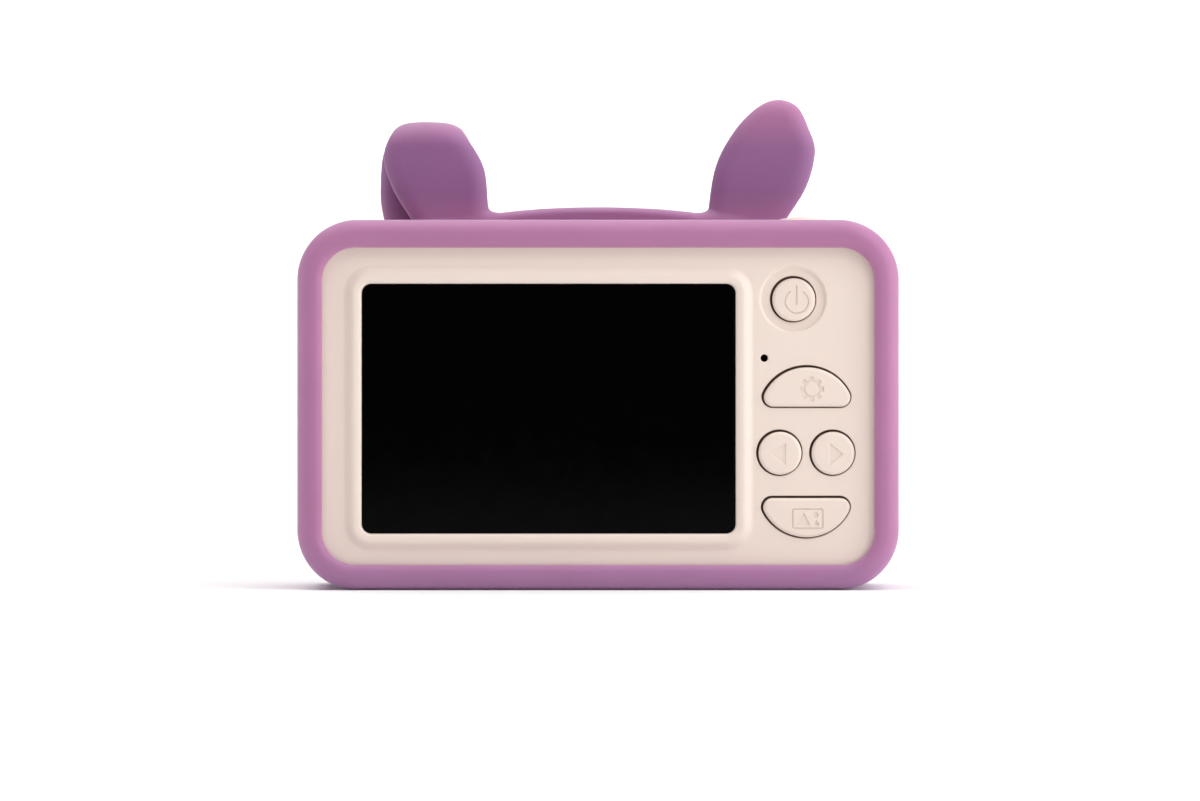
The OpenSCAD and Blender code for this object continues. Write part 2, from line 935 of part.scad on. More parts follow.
// Each wire leaves the speaker at x0, drops, runs level to x1 and enters its plug
module speaker_lead() {
    x0 = 26;
    x1 = 20;
    drop = 4;
    y = front_inner - speaker_t - 2;
    color([0.1, 0.1, 0.1])
        for (z = [11.2, 12.8]) {
            bar([x0, z + drop], wire_r, y, y + 2);
            translate([x0, y, z + drop]) sphere(wire_r);
            translate([x0, y, z]) cylinder(r = wire_r, h = drop);
            translate([x0, y, z]) sphere(wire_r);
            translate([x1, y, z]) rotate([0, 90, 0]) cylinder(r = wire_r, h = x0 - x1);
            translate([x1, y, z]) sphere(wire_r);
            bar([x1, z], wire_r, board_front + plug_t, y);
        }
}

module flash_board() {
    color([0.1, 0.35, 0.2])
        slab(front_inner - 2.5, front_inner - 1.5)
            square_at(flash_at[0], flash_at[1], 8.4, 6);
}

module flash_led() {
    color([0.95, 0.85, 0.45])
        slab(front_inner - 1.5, front_inner - 0.6)
            square_at(flash_at[0], flash_at[1], 3, 3);
}

module flash_window() {
    color([0.93, 0.93, 0.95])
        turned(flash_at) {
            translate([0, -case_front - 0.6]) square([flash_r, plate_t]);
            translate([0, -front_inner - 0.6]) square([flash_r + 0.5, 0.6]);
        }
}

// ---- Lens and sensor ----

module sensor_board() {
    color([0.1, 0.35, 0.2])
        difference() {
            slab(sensor_board_y, sensor_board_y + sensor_board_t)
                square_at(0, lens_z, sensor_board_side, sensor_board_side);
            for (p = module_screw_at)
                bar(p, board_boss_hole + 0.15, sensor_board_y - 1, holder_back + 1);
        }
}

module image_sensor() {
    color([0.15, 0.2, 0.22])
        slab(holder_back, holder_back + sensor_t)
            square_at(0, lens_z, sensor_side, sensor_side);
}

// Flat cable from the sensor board down to the main board
module sensor_flex() {
    top = lens_z - sensor_board_side / 2;
    bend = 1;
    y = sensor_board_y + 0.4;
    z = top - 1;
    color([0.85, 0.5, 0.15])
        slice(-4, 4) {
            translate([y, z]) square([flex_t, 1]);
            translate([y - bend, z]) quarter_ring(bend, 270);
            translate([y - bend, z - 2 * bend - flex_t]) quarter_ring(bend, 90);
            translate([y - 2 * bend - flex_t, sensor_flex_z])
                square([flex_t, z - 2 * bend - flex_t - sensor_flex_z]);
        }
}

module quarter_ring(r, turn) {
    rotate(turn)
        intersection() {
            difference() {
                circle(r + flex_t);
                circle(r);
            }
            square(2 * r + 1);
        }
}

module lens_holder() {
    color([0.12, 0.12, 0.13])
        difference() {
            slab(holder_back, holder_front)
                rounded_at(0, lens_z, holder_side, holder_side, 2);
            slab(holder_back - 1, barrel_back)
                square_at(0, lens_z, sensor_side + 2, sensor_side + 2);
            bar([0, lens_z], barrel_r + barrel_fit, barrel_back - small, holder_front + 1);
        }
}

// Barrel with three seats for the glass
module lens_barrel() {
    color([0.1, 0.1, 0.11])
        difference() {
            union() {
                bar([0, lens_z], barrel_r, barrel_back, barrel_front - 3);
                bar([0, lens_z], barrel_r + barrel_flange[0], barrel_front - barrel_flange[1],
                    barrel_front);
            }
            bar([0, lens_z], barrel_seat[0], barrel_back - 1, barrel_front + 1);
            bar([0, lens_z], barrel_bore, barrel_back + barrel_seat[1], barrel_front + 1);
            bar([0, lens_z], barrel_r - barrel_wall, barrel_front - barrel_flange[1] - 0.5,
                barrel_front + 1);
        }
}

// Lens with two round faces, drawn at the middle plane y
module glass(y, r, edge, bulge) {
    face_r = (r * r + bulge * bulge) / (2 * bulge);
    $fn = 400;
    color([0.75, 0.85, 0.9, 0.5])
        turned([0, lens_z])
            intersection() {
                translate([0, -y - edge / 2 - bulge + face_r]) circle(face_r);
                translate([0, -y + edge / 2 + bulge - face_r]) circle(face_r);
                translate([0, -y - edge / 2 - bulge]) square([r, edge + 2 * bulge]);
            }
}

module front_element() {
    glass(barrel_front - 3, barrel_r - barrel_wall - 0.05, 1.4, 1.2);
}

module middle_element() {
    glass(barrel_back + 7.2, barrel_bore - 0.05, 1.2, 0.5);
}

module rear_element() {
    glass(barrel_back + 3.6, barrel_bore - 0.05, 1, 0.55);
}

module lens_window() {
    color([0.1, 0.1, 0.14, 0.6])
        bar([0, lens_z], lens_window_r, lens_window_y, lens_window_y + lens_window_t);
}

// Stepped ring that frames the lens on the front shell
module lens_ring() {
    round_edge = 1.2;
    color([0.93, 0.88, 0.84])
        turned([0, lens_z])
            difference() {
                union() {
                    translate([lens_window_r - 1, -ring_front + round_edge])
                        square([ring_r - lens_window_r + 1, ring_front - round_edge - case_front]);
                    translate([lens_window_r - 1, -ring_front])
                        square([ring_r - round_edge - lens_window_r + 1, round_edge + small]);
                    translate([ring_r - round_edge, -ring_front + round_edge])
                        circle(round_edge);
                    translate([lens_window_r - 1, -case_front])
                        square([1.1, 1]);
                }
                translate([0, -lens_window_y - lens_window_t])
                    square([lens_window_r + 0.05, lens_window_t]);
                translate([0, -ring_front - 1])
                    square([lens_window_r + 0.05, ring_front + 1 - lens_window_y - lens_window_t]);
            }
}

// ---- Screws ----

// Screw with a cross recess. Its head lies against y, and it points towards -Y,
// or towards +Y when way is -1.
module screw(p, y, shank_r, long, head, way) {
    recess = head[1] * 0.6;
    translate([p[0], y, p[1]])
        rotate([way * 90, 0, 0])
            difference() {
                union() {
                    cylinder(r = shank_r, h = long);
                    translate([0, 0, -head[1]]) cylinder(r = head[0], h = head[1]);
                }
                for (turn = [0, 90])
                    rotate(turn)
                        translate([-head[0] * 0.6, -0.2, -head[1] - 1])
                            cube([head[0] * 1.2, 0.4, recess + 1]);
            }
}

module case_screws() {
    color([0.7, 0.7, 0.72])
        for (p = case_screw_at)
            screw(p, case_front - screw_sink, case_boss_hole - screw_fit, 14, case_screw_head, 1);
}

module board_screws() {
    color([0.7, 0.7, 0.72])
        for (p = board_screw_at)
            screw(p, board_front, board_boss_hole - screw_fit, 4.6, board_screw_head, 1);
}

module module_screws() {
    color([0.7, 0.7, 0.72])
        for (p = module_screw_at)
            screw(p, sensor_board_y, board_boss_hole - screw_fit, 5, board_screw_head, -1);
}

silicone_cover();
rear_shell();
front_shell();
screen_window();
window_tape();
lcd_gasket();
lcd_panel();
lcd_backlight();
lcd_flex();
power_cap();
settings_cap();
left_cap();
right_cap();
gallery_cap();
shutter_cap();
power_plunger();
settings_plunger();
left_plunger();
right_plunger();
gallery_plunger();
shutter_plunger();
rear_switches();
shutter_switch();
shutter_board();
main_board();
processor();
memory_chip();
microphone();
board_connectors();
usb_port();
card_socket();
memory_card();
battery_cell();
battery_tape();
battery_lead();
speaker_unit();
speaker_lead();
flash_board();
flash_led();
flash_window();
sensor_board();
image_sensor();
sensor_flex();
lens_holder();
lens_barrel();
front_element();
middle_element();
rear_element();
lens_window();
lens_ring();
case_screws();
board_screws();
module_screws();
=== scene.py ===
"""Looks of a children's digital camera in a soft silicone cover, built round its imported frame."""

import json
import math

import bpy
import bmesh
import numpy as np
from mathutils import Matrix, Vector
from mathutils.geometry import delaunay_2d_cdt

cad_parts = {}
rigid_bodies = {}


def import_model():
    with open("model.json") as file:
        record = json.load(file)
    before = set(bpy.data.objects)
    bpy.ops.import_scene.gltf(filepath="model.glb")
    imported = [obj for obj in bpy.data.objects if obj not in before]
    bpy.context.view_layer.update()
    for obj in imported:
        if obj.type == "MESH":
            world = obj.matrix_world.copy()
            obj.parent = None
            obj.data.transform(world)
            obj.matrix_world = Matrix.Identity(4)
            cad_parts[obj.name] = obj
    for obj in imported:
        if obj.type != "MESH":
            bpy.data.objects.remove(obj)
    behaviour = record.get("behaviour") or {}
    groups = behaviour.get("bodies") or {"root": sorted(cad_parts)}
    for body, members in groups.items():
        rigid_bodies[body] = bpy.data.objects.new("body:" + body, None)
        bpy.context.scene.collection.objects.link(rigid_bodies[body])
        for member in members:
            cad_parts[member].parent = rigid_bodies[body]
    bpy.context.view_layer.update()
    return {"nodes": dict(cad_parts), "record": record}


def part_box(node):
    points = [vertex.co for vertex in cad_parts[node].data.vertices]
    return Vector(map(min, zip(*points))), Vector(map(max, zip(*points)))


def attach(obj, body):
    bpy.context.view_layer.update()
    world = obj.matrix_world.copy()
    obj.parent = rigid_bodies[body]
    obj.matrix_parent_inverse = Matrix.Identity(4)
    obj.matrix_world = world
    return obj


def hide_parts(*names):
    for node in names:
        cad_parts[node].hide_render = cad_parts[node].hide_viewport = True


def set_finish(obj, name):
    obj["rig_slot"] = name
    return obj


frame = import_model()

MM = 0.001


def box_mm(node):
    """Lowest and highest corner of a CAD node, in millimetres."""
    low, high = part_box(node)
    return np.array(low) / MM, np.array(high) / MM


def middle(node):
    low, high = box_mm(node)
    return (low + high) / 2


# ---- Driving places and sizes, in millimetres ----

cover_low, cover_high = box_mm("silicone_cover")
case_low, case_high = box_mm("rear_shell")
front_high = box_mm("front_shell")[1]
window_low, window_high = box_mm("screen_window")
ring_low, ring_high = box_mm("lens_ring")
shutter_low, shutter_high = box_mm("shutter_cap")

REAR_Y = cover_low[1]
COVER_W = cover_high[0] - cover_low[0]
COVER_H = 61.5
COVER_R = 10.0
MID_Z = COVER_H / 2
REAR_ROUND = 2.6
FRONT_ROUND = 4.0
CASE_W = case_high[0] - case_low[0]
CASE_H = case_high[2] - case_low[2]
COVER_WALL = (COVER_W - CASE_W) / 2
CASE_R = COVER_R - COVER_WALL
CASE_FRONT = front_high[1]
COVER_FRONT = CASE_FRONT + COVER_WALL
PANEL_FRONT = COVER_FRONT + 1.4
BEZEL_H = 0.8
PLATE_Y = case_low[1] + BEZEL_H
PLATE_T = 2.0
PLATE_BACK = PLATE_Y + PLATE_T
SPLIT_Y = case_high[1]
CASE_WALL = 1.8
OPENING_W = 91.6
OPENING_H = 52.6
OPENING_R = 5.5
OPENING_Z = 30.5
LENS_Z = middle("lens_ring")[2]
SHUTTER_AT = middle("shutter_cap")[:2]
FLASH_AT = middle("flash_window")[[0, 2]]
SPEAKER_AT = middle("speaker_unit")[[0, 2]]
MIC_AT = middle("microphone")[[0, 2]]
PORT_Y = middle("usb_port")[1]
PORT_CUT_W, PORT_CUT_H, PORT_CUT_Z = 7.4, 29.0, 30.4

ARCH_R = 105
ARCH_TOP = 65.2
PANEL_W = 84
PANEL_BACK = 8.4
LENS_RIDGE_R = 16.8
LENS_HOLE_R = 15
FLASH_HOLE_R = 2.7
SPEAKER_RING_R = 3.2
SPEAKER_HOLE_R = 0.8
SHUTTER_HOLE_R = 5.9
SHUTTER_BORE_R = 5.08
EYE_X, EYE_Z = 25, 42
EYE_BALL_R = 6
EYE_DEEP = 0.6

WINDOW_FIT = 0.08
VIEW_W, VIEW_H = 54, 38.5
ROUND_HOLE_R = 3.85
MIC_HOLE_R = 0.62
PLATE_EDGE = 0.15
BEZEL_CREST = 1.15
BEZEL_FOOT = 3.05
SCREW_HEAD_R = 2.1
BOARD_POSTS = ((-41.6, 12.8), (-41.6, 48.8), (24.7, 17), (24.7, 44))
FLANGE_T = 0.8
FLANGE_OVER = 0.7
CAP_GAP = 0.28
CAP_SAG = np.array([0.12, -0.1])
CAP_EDGE = 0.6
SYMBOL_DEEP = 0.2
STEM_R = 1.6
MOON_R = 8.2
MOON_CORNER = 1.85
MOON_FLAT = 1.1
DISH_R = 5.45
DISH_DEEP = 0.5

EAR_LOW = 55.0
EAR_EDGE = 3.2
EAR_HALF = 1.8
RIGHT_EAR_Y = 10.4
FOLD_Y = 12.6
FOLD_Z = 75.3
FOLD_R = 2.8

NET_STEP = 0.5
MOST_TRIANGLES = 180000
LONGEST_STEP = 0.3


# ---- Outlines in X and Z, each a function of how far it is grown ----

def arc(cx, cz, r, start, end, steps):
    turn = np.radians(np.linspace(start, end, steps + 1))
    return np.column_stack((cx + r * np.cos(turn), cz + r * np.sin(turn)))


def circle(cx, cz, r, steps=72):
    def shape(grow):
        return arc(cx, cz, r + grow, 0, 360 - 360 / steps, steps - 1)
    return shape


def round_rect(cx, cz, w, h, r, steps=12):
    def shape(grow):
        turn = max(r + grow, 0.02)
        corners = ((1, 1, 0), (-1, 1, 90), (-1, -1, 180), (1, -1, 270))
        return np.vstack([arc(cx + sx * (w / 2 + grow - turn), cz + sz * (h / 2 + grow - turn),
                              turn, at, at + 90, steps) for sx, sz, at in corners])
    return shape


def half_moon(cx, cz, way):
    """Segment of a circle about (cx, cz) with round corners, its arc up when way is 1."""
    def shape(grow):
        rise = MOON_FLAT + MOON_CORNER
        across = math.sqrt((MOON_R - MOON_CORNER) ** 2 - rise ** 2)
        tilt = math.degrees(math.atan2(rise, across))
        points = np.vstack((arc(across, rise, MOON_CORNER + grow, -90, tilt, 12),
                            arc(0, 0, MOON_R + grow, tilt + 2, 178 - tilt, 44),
                            arc(-across, rise, MOON_CORNER + grow, 180 - tilt, 270, 12)))
        return points * (1, way) + (cx, cz)
    return shape


def rounded_poly(corners, r, steps=6):
    """Convex polygon, anticlockwise, with rounded corners."""
    corners = np.array(corners, float)

    def shape(grow):
        points = []
        for i, corner in enumerate(corners):
            back = corner - corners[i - 1]
            ahead = corners[(i + 1) % len(corners)] - corner
            start = math.degrees(math.atan2(-back[0], back[1]))
            end = math.degrees(math.atan2(-ahead[0], ahead[1]))
            turn = (end - start) % 360
            inward = ahead / np.linalg.norm(ahead) - back / np.linalg.norm(back)
            centre = corner + inward * r / np.linalg.norm(inward) / math.cos(math.radians(turn / 2))
            points.append(arc(*centre, max(r + grow, 0.02), start, start + turn, steps))
        return np.vstack(points)
    return shape


def bent_slot(cx, cz, r, start, end, width):
    """Groove of one width along an arc, with round ends."""
    def shape(grow):
        half = width / 2 + grow
        first, last = (np.array((cx, cz)) + r * np.array((math.cos(a), math.sin(a)))
                       for a in np.radians((start, end)))
        return np.vstack((arc(cx, cz, r + half, start, end, 40),
                          arc(*last, half, end + 20, end + 160, 6),
                          arc(cx, cz, r - half, end, start, 40),
                          arc(*first, half, start + 200, start + 340, 6)))
    return shape


def gear(cx, cz, r_root, r_tip, teeth):
    def shape(grow):
        turn = np.linspace(0, 2 * math.pi, 160, endpoint=False)
        tooth = np.clip(3 * np.cos(teeth * turn) + 0.6, -1, 1)
        r = (r_root + r_tip) / 2 + (r_tip - r_root) / 2 * tooth + grow
        return np.column_stack((cx + r * np.cos(turn), cz + r * np.sin(turn)))
    return shape


def odd_crossings(point, start, end):
    """Whether a point is inside the rings whose edges run from start to end."""
    crossed = (start[:, 1] > point[1]) != (end[:, 1] > point[1])
    (x0, z0), (x1, z1) = start[crossed].T, end[crossed].T
    return np.count_nonzero(point[0] < x0 + (point[1] - z0) * (x1 - x0) / (z1 - z0)) % 2 == 1


# ---- Skins: rings of points along Y, joined by bands and closed by flat faces ----

class Skin:
    """Vertices and faces of one piece, gathered in millimetres."""

    def __init__(self):
        self.points = []
        self.faces = []

    def ring(self, outline, y):
        start = len(self.points)
        self.points += [(x, y, z) for x, z in outline]
        return list(range(start, len(self.points)))

    def band(self, one, two):
        for i in range(len(one)):
            j = (i + 1) % len(one)
            self.faces.append((one[i], one[j], two[j], two[i]))

    def bands(self, rings):
        for one, two in zip(rings, rings[1:]):
            self.band(one, two)

    def sweep(self, shape, profile):
        """Rings of shape at each (grow, y) of profile, joined. Returns the first and the last."""
        rings = [self.ring(shape(grow), y) for grow, y in profile]
        self.bands(rings)
        return rings[0], rings[-1]

    def flat(self, outer, holes=()):
        """Flat face inside the ring outer and outside the rings in holes."""
        index = [i for ring in (outer, *holes) for i in ring]
        place = np.array([(self.points[i][0], self.points[i][2]) for i in index])
        edges = []
        for ring in (outer, *holes):
            edges += [(len(edges) + i, len(edges) + (i + 1) % len(ring)) for i in range(len(ring))]
        corners = [Vector(p) for p in place]
        _, _, triangles, origin, _, _ = delaunay_2d_cdt(corners, edges, [], 0, 1e-7)
        ends = place[np.array(edges)]
        for face in triangles:
            face = [origin[i][0] for i in face]
            if odd_crossings(place[face].mean(axis=0), ends[:, 0], ends[:, 1]):
                self.faces.append(tuple(index[i] for i in face))

    def pocket(self, shape, y, deep, islands=()):
        """Recess of the outline shape into a face at y, and the islands that stand in it.
        Returns the ring that the face leaves open."""
        soft = 0.06
        top, floor = self.sweep(shape, [(soft, y), (soft * 0.3, y + soft * 0.3), (0, y + soft),
                                        (0, y + deep - soft), (-soft, y + deep)])
        feet = []
        for island, inner in islands:
            foot, head = self.sweep(island, [(soft, y + deep), (0, y + deep - soft), (0, y + soft),
                                             (-soft, y)])
            self.face(head, y, deep, inner)
            feet.append(foot)
        self.flat(floor, feet)
        return top

    def face(self, outer, y, deep, pockets):
        self.flat(outer, [self.pocket(shape, y, deep, islands) for shape, islands in pockets])

    def block(self, low, high):
        (x0, y0, z0), (x1, y1, z1) = low, high
        base = self.ring([(x0, z0), (x1, z0), (x1, z1), (x0, z1)], y0)
        top = self.ring([(x0, z0), (x1, z0), (x1, z1), (x0, z1)], y1)
        self.band(base, top)
        self.faces += [tuple(base), tuple(top)]

    def tube(self, outside, inside, y0, y1, edge=0.12):
        """Closed ring between two outlines of the same number of points."""
        loop = [(outside, -edge, y0), (outside, 0, y0 + edge), (outside, 0, y1 - edge),
                (outside, -edge, y1), (inside, edge, y1), (inside, 0, y1 - edge),
                (inside, 0, y0 + edge), (inside, edge, y0)]
        rings = [self.ring(shape(grow), y) for shape, grow, y in loop]
        self.bands(rings + rings[:1])

    def build(self, name):
        mesh = bpy.data.meshes.new(name)
        mesh.from_pydata([Vector(p) * MM for p in self.points], [], self.faces)
        solid = bmesh.new()
        solid.from_mesh(mesh)
        bmesh.ops.remove_doubles(solid, verts=solid.verts, dist=1e-7)
        bmesh.ops.recalc_face_normals(solid, faces=solid.faces)
        solid.to_mesh(mesh)
        solid.free()
        obj = bpy.data.objects.new(name, mesh)
        bpy.context.scene.collection.objects.link(obj)
        return obj


def stand_up(obj):
    """Swaps Y and Z, for a piece turned about Z."""
    obj.data.transform(Matrix(((1, 0, 0, 0), (0, 0, 1, 0), (0, 1, 0, 0), (0, 0, 0, 1))))
    obj.data.flip_normals()


def quarter(grow0, y0, grow1, y1, steps=6, hollow=False):
    """Quarter turn of a profile from (grow0, y0) to (grow1, y1). It leaves level with the face
    and ends square to it, or the other way round when hollow."""
    turn = np.linspace(0, math.pi / 2, steps + 1)
    if hollow:
        return [(grow0 + (grow1 - grow0) * (1 - math.cos(t)), y0 + (y1 - y0) * math.sin(t))
                for t in turn]
    return [(grow0 + (grow1 - grow0) * math.sin(t), y0 + (y1 - y0) * (1 - math.cos(t)))
            for t in turn]


def smooth(obj, angle=40):
    """Smooth shading with the flat faces kept flat."""
    obj.data.shade_smooth()
    obj.data.set_sharp_from_angle(angle=math.radians(angle))
    normals = obj.modifiers.new("normals", "WEIGHTED_NORMAL")
    normals.keep_sharp = True
    normals.weight = 80
    return obj


def cut(obj, cutters):
    """Takes the cutters' solids out of obj."""
    for cutter in cutters:
        step = obj.modifiers.new("cut", "BOOLEAN")
        step.operation = "DIFFERENCE"
        step.solver = "EXACT"
        step.object = cutter
    bpy.context.view_layer.update()
    graph = bpy.context.evaluated_depsgraph_get()
    mesh = bpy.data.meshes.new_from_object(obj.evaluated_get(graph))
    obj.modifiers.clear()
    old = obj.data
    obj.data = mesh
    bpy.data.meshes.remove(old)
    for cutter in cutters:
        bpy.data.objects.remove(cutter)
    return obj


def join(obj, others):
    solid = bmesh.new()
    for one in [obj, *others]:
        solid.from_mesh(one.data)
    solid.to_mesh(obj.data)
    solid.free()
    for one in others:
        bpy.data.objects.remove(one)
    return obj


def finish_piece(obj, body, node, slot):
    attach(obj, body)
    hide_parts(node)
    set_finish(obj, slot)
    return obj


# ---- Silicone cover, as the zero surface of one field ----

def rect_gap(x, z, cx, cz, w, h, r):
    """Distance from a rounded rectangle, negative inside it."""
    across = np.abs(x - cx) - w / 2 + r
    up = np.abs(z - cz) - h / 2 + r
    outside = np.hypot(np.maximum(across, 0), np.maximum(up, 0))
    return outside + np.minimum(np.maximum(across, up), 0) - r


def both(a, b, r):
    """Where two solids meet, its edges rounded to r."""
    inside = np.minimum(np.maximum(a + r, b + r), 0)
    return inside + np.hypot(np.maximum(a + r, 0), np.maximum(b + r, 0)) - r


def either(a, b, r):
    """Two solids joined, with a fillet r in the corner."""
    return -both(-a, -b, r)


def without(a, b, r):
    return both(a, -b, r)


def pillow(a, b):
    """Sheet of an ear from its outline a and its faces b, with long round edges."""
    over = np.maximum(a / EAR_EDGE + 1, 0)
    up = np.maximum(b / EAR_HALF + 1, 0)
    return (np.hypot(over, up) - 1) * EAR_HALF


def spline(points, steps=8):
    """Closed smooth curve through a few points."""
    points = np.array(points, float)
    t = np.linspace(0, 1, steps, endpoint=False)[:, None]
    spans = []
    for i in range(len(points)):
        a, b, c, d = (points[(i + k) % len(points)] for k in (-1, 0, 1, 2))
        spans.append(b + t / 2 * (c - a + t * (2 * a - 5 * b + 4 * c - d
                                               + t * (3 * (b - c) + d - a))))
    return np.vstack(spans)


def outline_gap(x, z, points):
    """Distance from a closed outline, negative inside it."""
    x, z = np.broadcast_arrays(x, z)
    nearest = np.full(x.shape, np.inf)
    inside = np.zeros(x.shape, bool)
    for (ax, az), (bx, bz) in zip(points, np.roll(points, -1, axis=0)):
        ex, ez = bx - ax, bz - az
        along = np.clip(((x - ax) * ex + (z - az) * ez) / (ex * ex + ez * ez), 0, 1)
        nearest = np.minimum(nearest, (x - ax - along * ex) ** 2 + (z - az - along * ez) ** 2)
        if ez != 0:
            inside ^= ((az > z) != (bz > z)) & (x < ax + (z - az) * ex / ez)
    return np.where(inside, -1, 1) * np.sqrt(nearest)


RIGHT_EAR = spline([(17.6, 54), (18.7, 62), (20.1, 71.3), (23.2, 77.5), (27.2, 81.8), (30.9, 83.3),
                    (34.3, 82.1), (36.3, 78.3), (37.4, 74.3), (36, 68.5), (32.8, 63.2),
                    (29.2, 58), (26.8, 54)])
LEFT_EAR = spline([(-26.5, 54), (-29.3, 58.4), (-32.3, 62.8), (-35.4, 68), (-36.9, 73.2),
                   (-35.6, 77.4), (-33.3, 80.2), (-29.3, 81), (-25, 79.8), (-22.1, 76),
                   (-19.6, 71.3), (-18.9, 65.2), (-18.1, 59.6), (-17.5, 54)])
LEFT_FLAP = spline([(-37.7, 69.5), (-37.6, 65), (-36.3, 60.4), (-33.9, 57), (-31, 55.9),
                    (-27.8, 57.4), (-24.7, 61.8), (-22.4, 67.2), (-21.2, 71.6), (-22.1, 76),
                    (-25, 79.8), (-29.3, 81), (-33.3, 80.2), (-35.6, 77.4), (-37.3, 73.9)])


def ears_field(x, y, z):
    right = pillow(outline_gap(x, z, RIGHT_EAR), np.abs(y - RIGHT_EAR_Y) - EAR_HALF)
    sheet = np.where(z > FOLD_Z, np.hypot(y - FOLD_Y, z - FOLD_Z), np.abs(y - FOLD_Y))
    outline = np.where(y < FOLD_Y, outline_gap(x, z, LEFT_EAR), outline_gap(x, z, LEFT_FLAP))
    left = pillow(outline, np.abs(sheet - FOLD_R) - EAR_HALF)
    return np.minimum(right, left)


def cover_field(x, y, z, ears=True):
    """Distance from the silicone cover's surface, near enough, in millimetres."""
    # outer block with its two edge rounds
    side = rect_gap(x, z, 0, MID_Z, COVER_W, COVER_H, COVER_R)
    field = np.where(y < 0, both(side, REAR_Y - y, REAR_ROUND),
                     both(side, y - COVER_FRONT, FRONT_ROUND))
    # head panel with the arch
    arch = np.hypot(x, z - ARCH_TOP + ARCH_R) - ARCH_R
    arch = both(arch, rect_gap(x, z, 0, ARCH_TOP / 2 + 2, PANEL_W, ARCH_TOP - 2, COVER_R), 3)
    panel_half = (PANEL_FRONT - PANEL_BACK) / 2
    panel = both(arch, np.abs(y - PANEL_FRONT + panel_half) - panel_half, 1.6)
    field = either(field, panel, 0.8)
    # ridge round the lens
    around = np.hypot(x, z - LENS_Z)
    ridge = np.hypot(around - LENS_RIDGE_R, y - PANEL_FRONT) - 1.5
    field = either(field, ridge, 1)
    if ears:
        field = either(field, ears_field(x, y, z), 1.4)
    # opening, whose front edge is the round lip, then the space for the case
    opening = rect_gap(x, z, 0, OPENING_Z, OPENING_W, OPENING_H, OPENING_R)
    field = without(field, np.maximum(opening, y - PLATE_Y - 1), 1.25)
    space = both(rect_gap(x, z, 0, MID_Z, CASE_W, CASE_H, CASE_R),
                 np.abs(y - (PLATE_Y + CASE_FRONT) / 2) - (CASE_FRONT - PLATE_Y) / 2, 0.3)
    field = without(field, space, 0.15)
    # holes of the face side
    through = CASE_FRONT - 2 - y
    field = without(field, np.maximum(around - LENS_HOLE_R, through), 0.5)
    flash = np.hypot(x - FLASH_AT[0], z - FLASH_AT[1])
    field = without(field, np.maximum(flash - FLASH_HOLE_R, through), 0.5)
    for hole_x, hole_z in speaker_holes():
        hole = np.hypot(x - hole_x, z - hole_z)
        field = without(field, np.maximum(hole - SPEAKER_HOLE_R, through), 0.3)
    # shallow dimples for the eyes
    ball_y = PANEL_FRONT + EYE_BALL_R - EYE_DEEP
    for eye_x in (-EYE_X, EYE_X):
        ball = np.sqrt((x - eye_x) ** 2 + (z - EYE_Z) ** 2 + (y - ball_y) ** 2)
        field = without(field, ball - EYE_BALL_R, 0.5)
    # shutter hole in the top and port cut-out in the side
    shutter = np.hypot(x - SHUTTER_AT[0], y - SHUTTER_AT[1])
    field = without(field, np.maximum(shutter - SHUTTER_HOLE_R, COVER_H - 8 - z), 0.7)
    port = rect_gap(y, z, PORT_Y, PORT_CUT_Z, PORT_CUT_W, PORT_CUT_H, 2.6)
    return without(field, np.maximum(port, x + CASE_W / 2 - 2), 0.7)


def speaker_holes():
    ring = [SPEAKER_AT + SPEAKER_RING_R * np.array((math.cos(t), math.sin(t)))
            for t in np.radians(range(0, 360, 60))]
    return [SPEAKER_AT, *ring]


def surface_net(field, low, high, step):
    """Quads round the zero surface of a field, with one vertex in each cell that it crosses."""
    axes = [np.arange(a, b + step, step) for a, b in zip(low, high)]
    value = field(*np.ix_(*axes))
    cells, points, quads = [], [], []
    for axis in range(3):
        near = np.delete(value, -1, axis)
        far = np.delete(value, 0, axis)
        crossed = (near < 0) != (far < 0)
        edge = np.argwhere(crossed)
        near, far = near[crossed], far[crossed]
        point = edge.astype(float)
        point[:, axis] += near / (near - far)
        corners = []
        for du, dv in ((0, 0), (1, 0), (1, 1), (0, 1)):
            cell = edge.copy()
            cell[:, (axis + 1) % 3] -= du
            cell[:, (axis + 2) % 3] -= dv
            corners.append(np.ravel_multi_index(cell.T, value.shape))
            cells.append(corners[-1])
            points.append(point)
        quad = np.stack(corners, axis=1)
        quad[near >= 0] = quad[near >= 0, ::-1]
        quads.append(quad)
    used, place = np.unique(np.concatenate(cells), return_inverse=True)
    points = np.concatenate(points)
    count = np.bincount(place)
    centre = np.column_stack([np.bincount(place, points[:, k]) / count for k in range(3)])
    faces = np.searchsorted(used, np.concatenate(quads))
    return centre * step + [a[0] for a in axes], faces


def slope(field, p, h=0.04):
    """Value and gradient of a field at points."""
    parts = []
    for k in range(3):
        push = np.zeros(3)
        push[k] = h
        parts.append((field(*(p + push).T) - field(*(p - push).T)) / (2 * h))
    return field(*p.T), np.column_stack(parts)


def settle(p, rounds):
    """Moves points onto the cover's surface. Returns them and their outward normals."""
    p = p.copy()
    normals = np.zeros_like(p)
    for ears in (True, False):
        group = (p[:, 2] > EAR_LOW) == ears
        at = p[group]
        for turn in range(rounds + 1):
            value, way = slope(lambda x, y, z: cover_field(x, y, z, ears), at)
            size = np.maximum(np.sum(way * way, axis=1), 0.2)
            if turn < rounds:
                step = (value / size)[:, None] * way
                length = np.maximum(np.linalg.norm(step, axis=1), 1e-9)
                at -= step * np.minimum(1, LONGEST_STEP / length)[:, None]
        p[group] = at
        normals[group] = way / np.linalg.norm(way, axis=1)[:, None]
    return p, normals


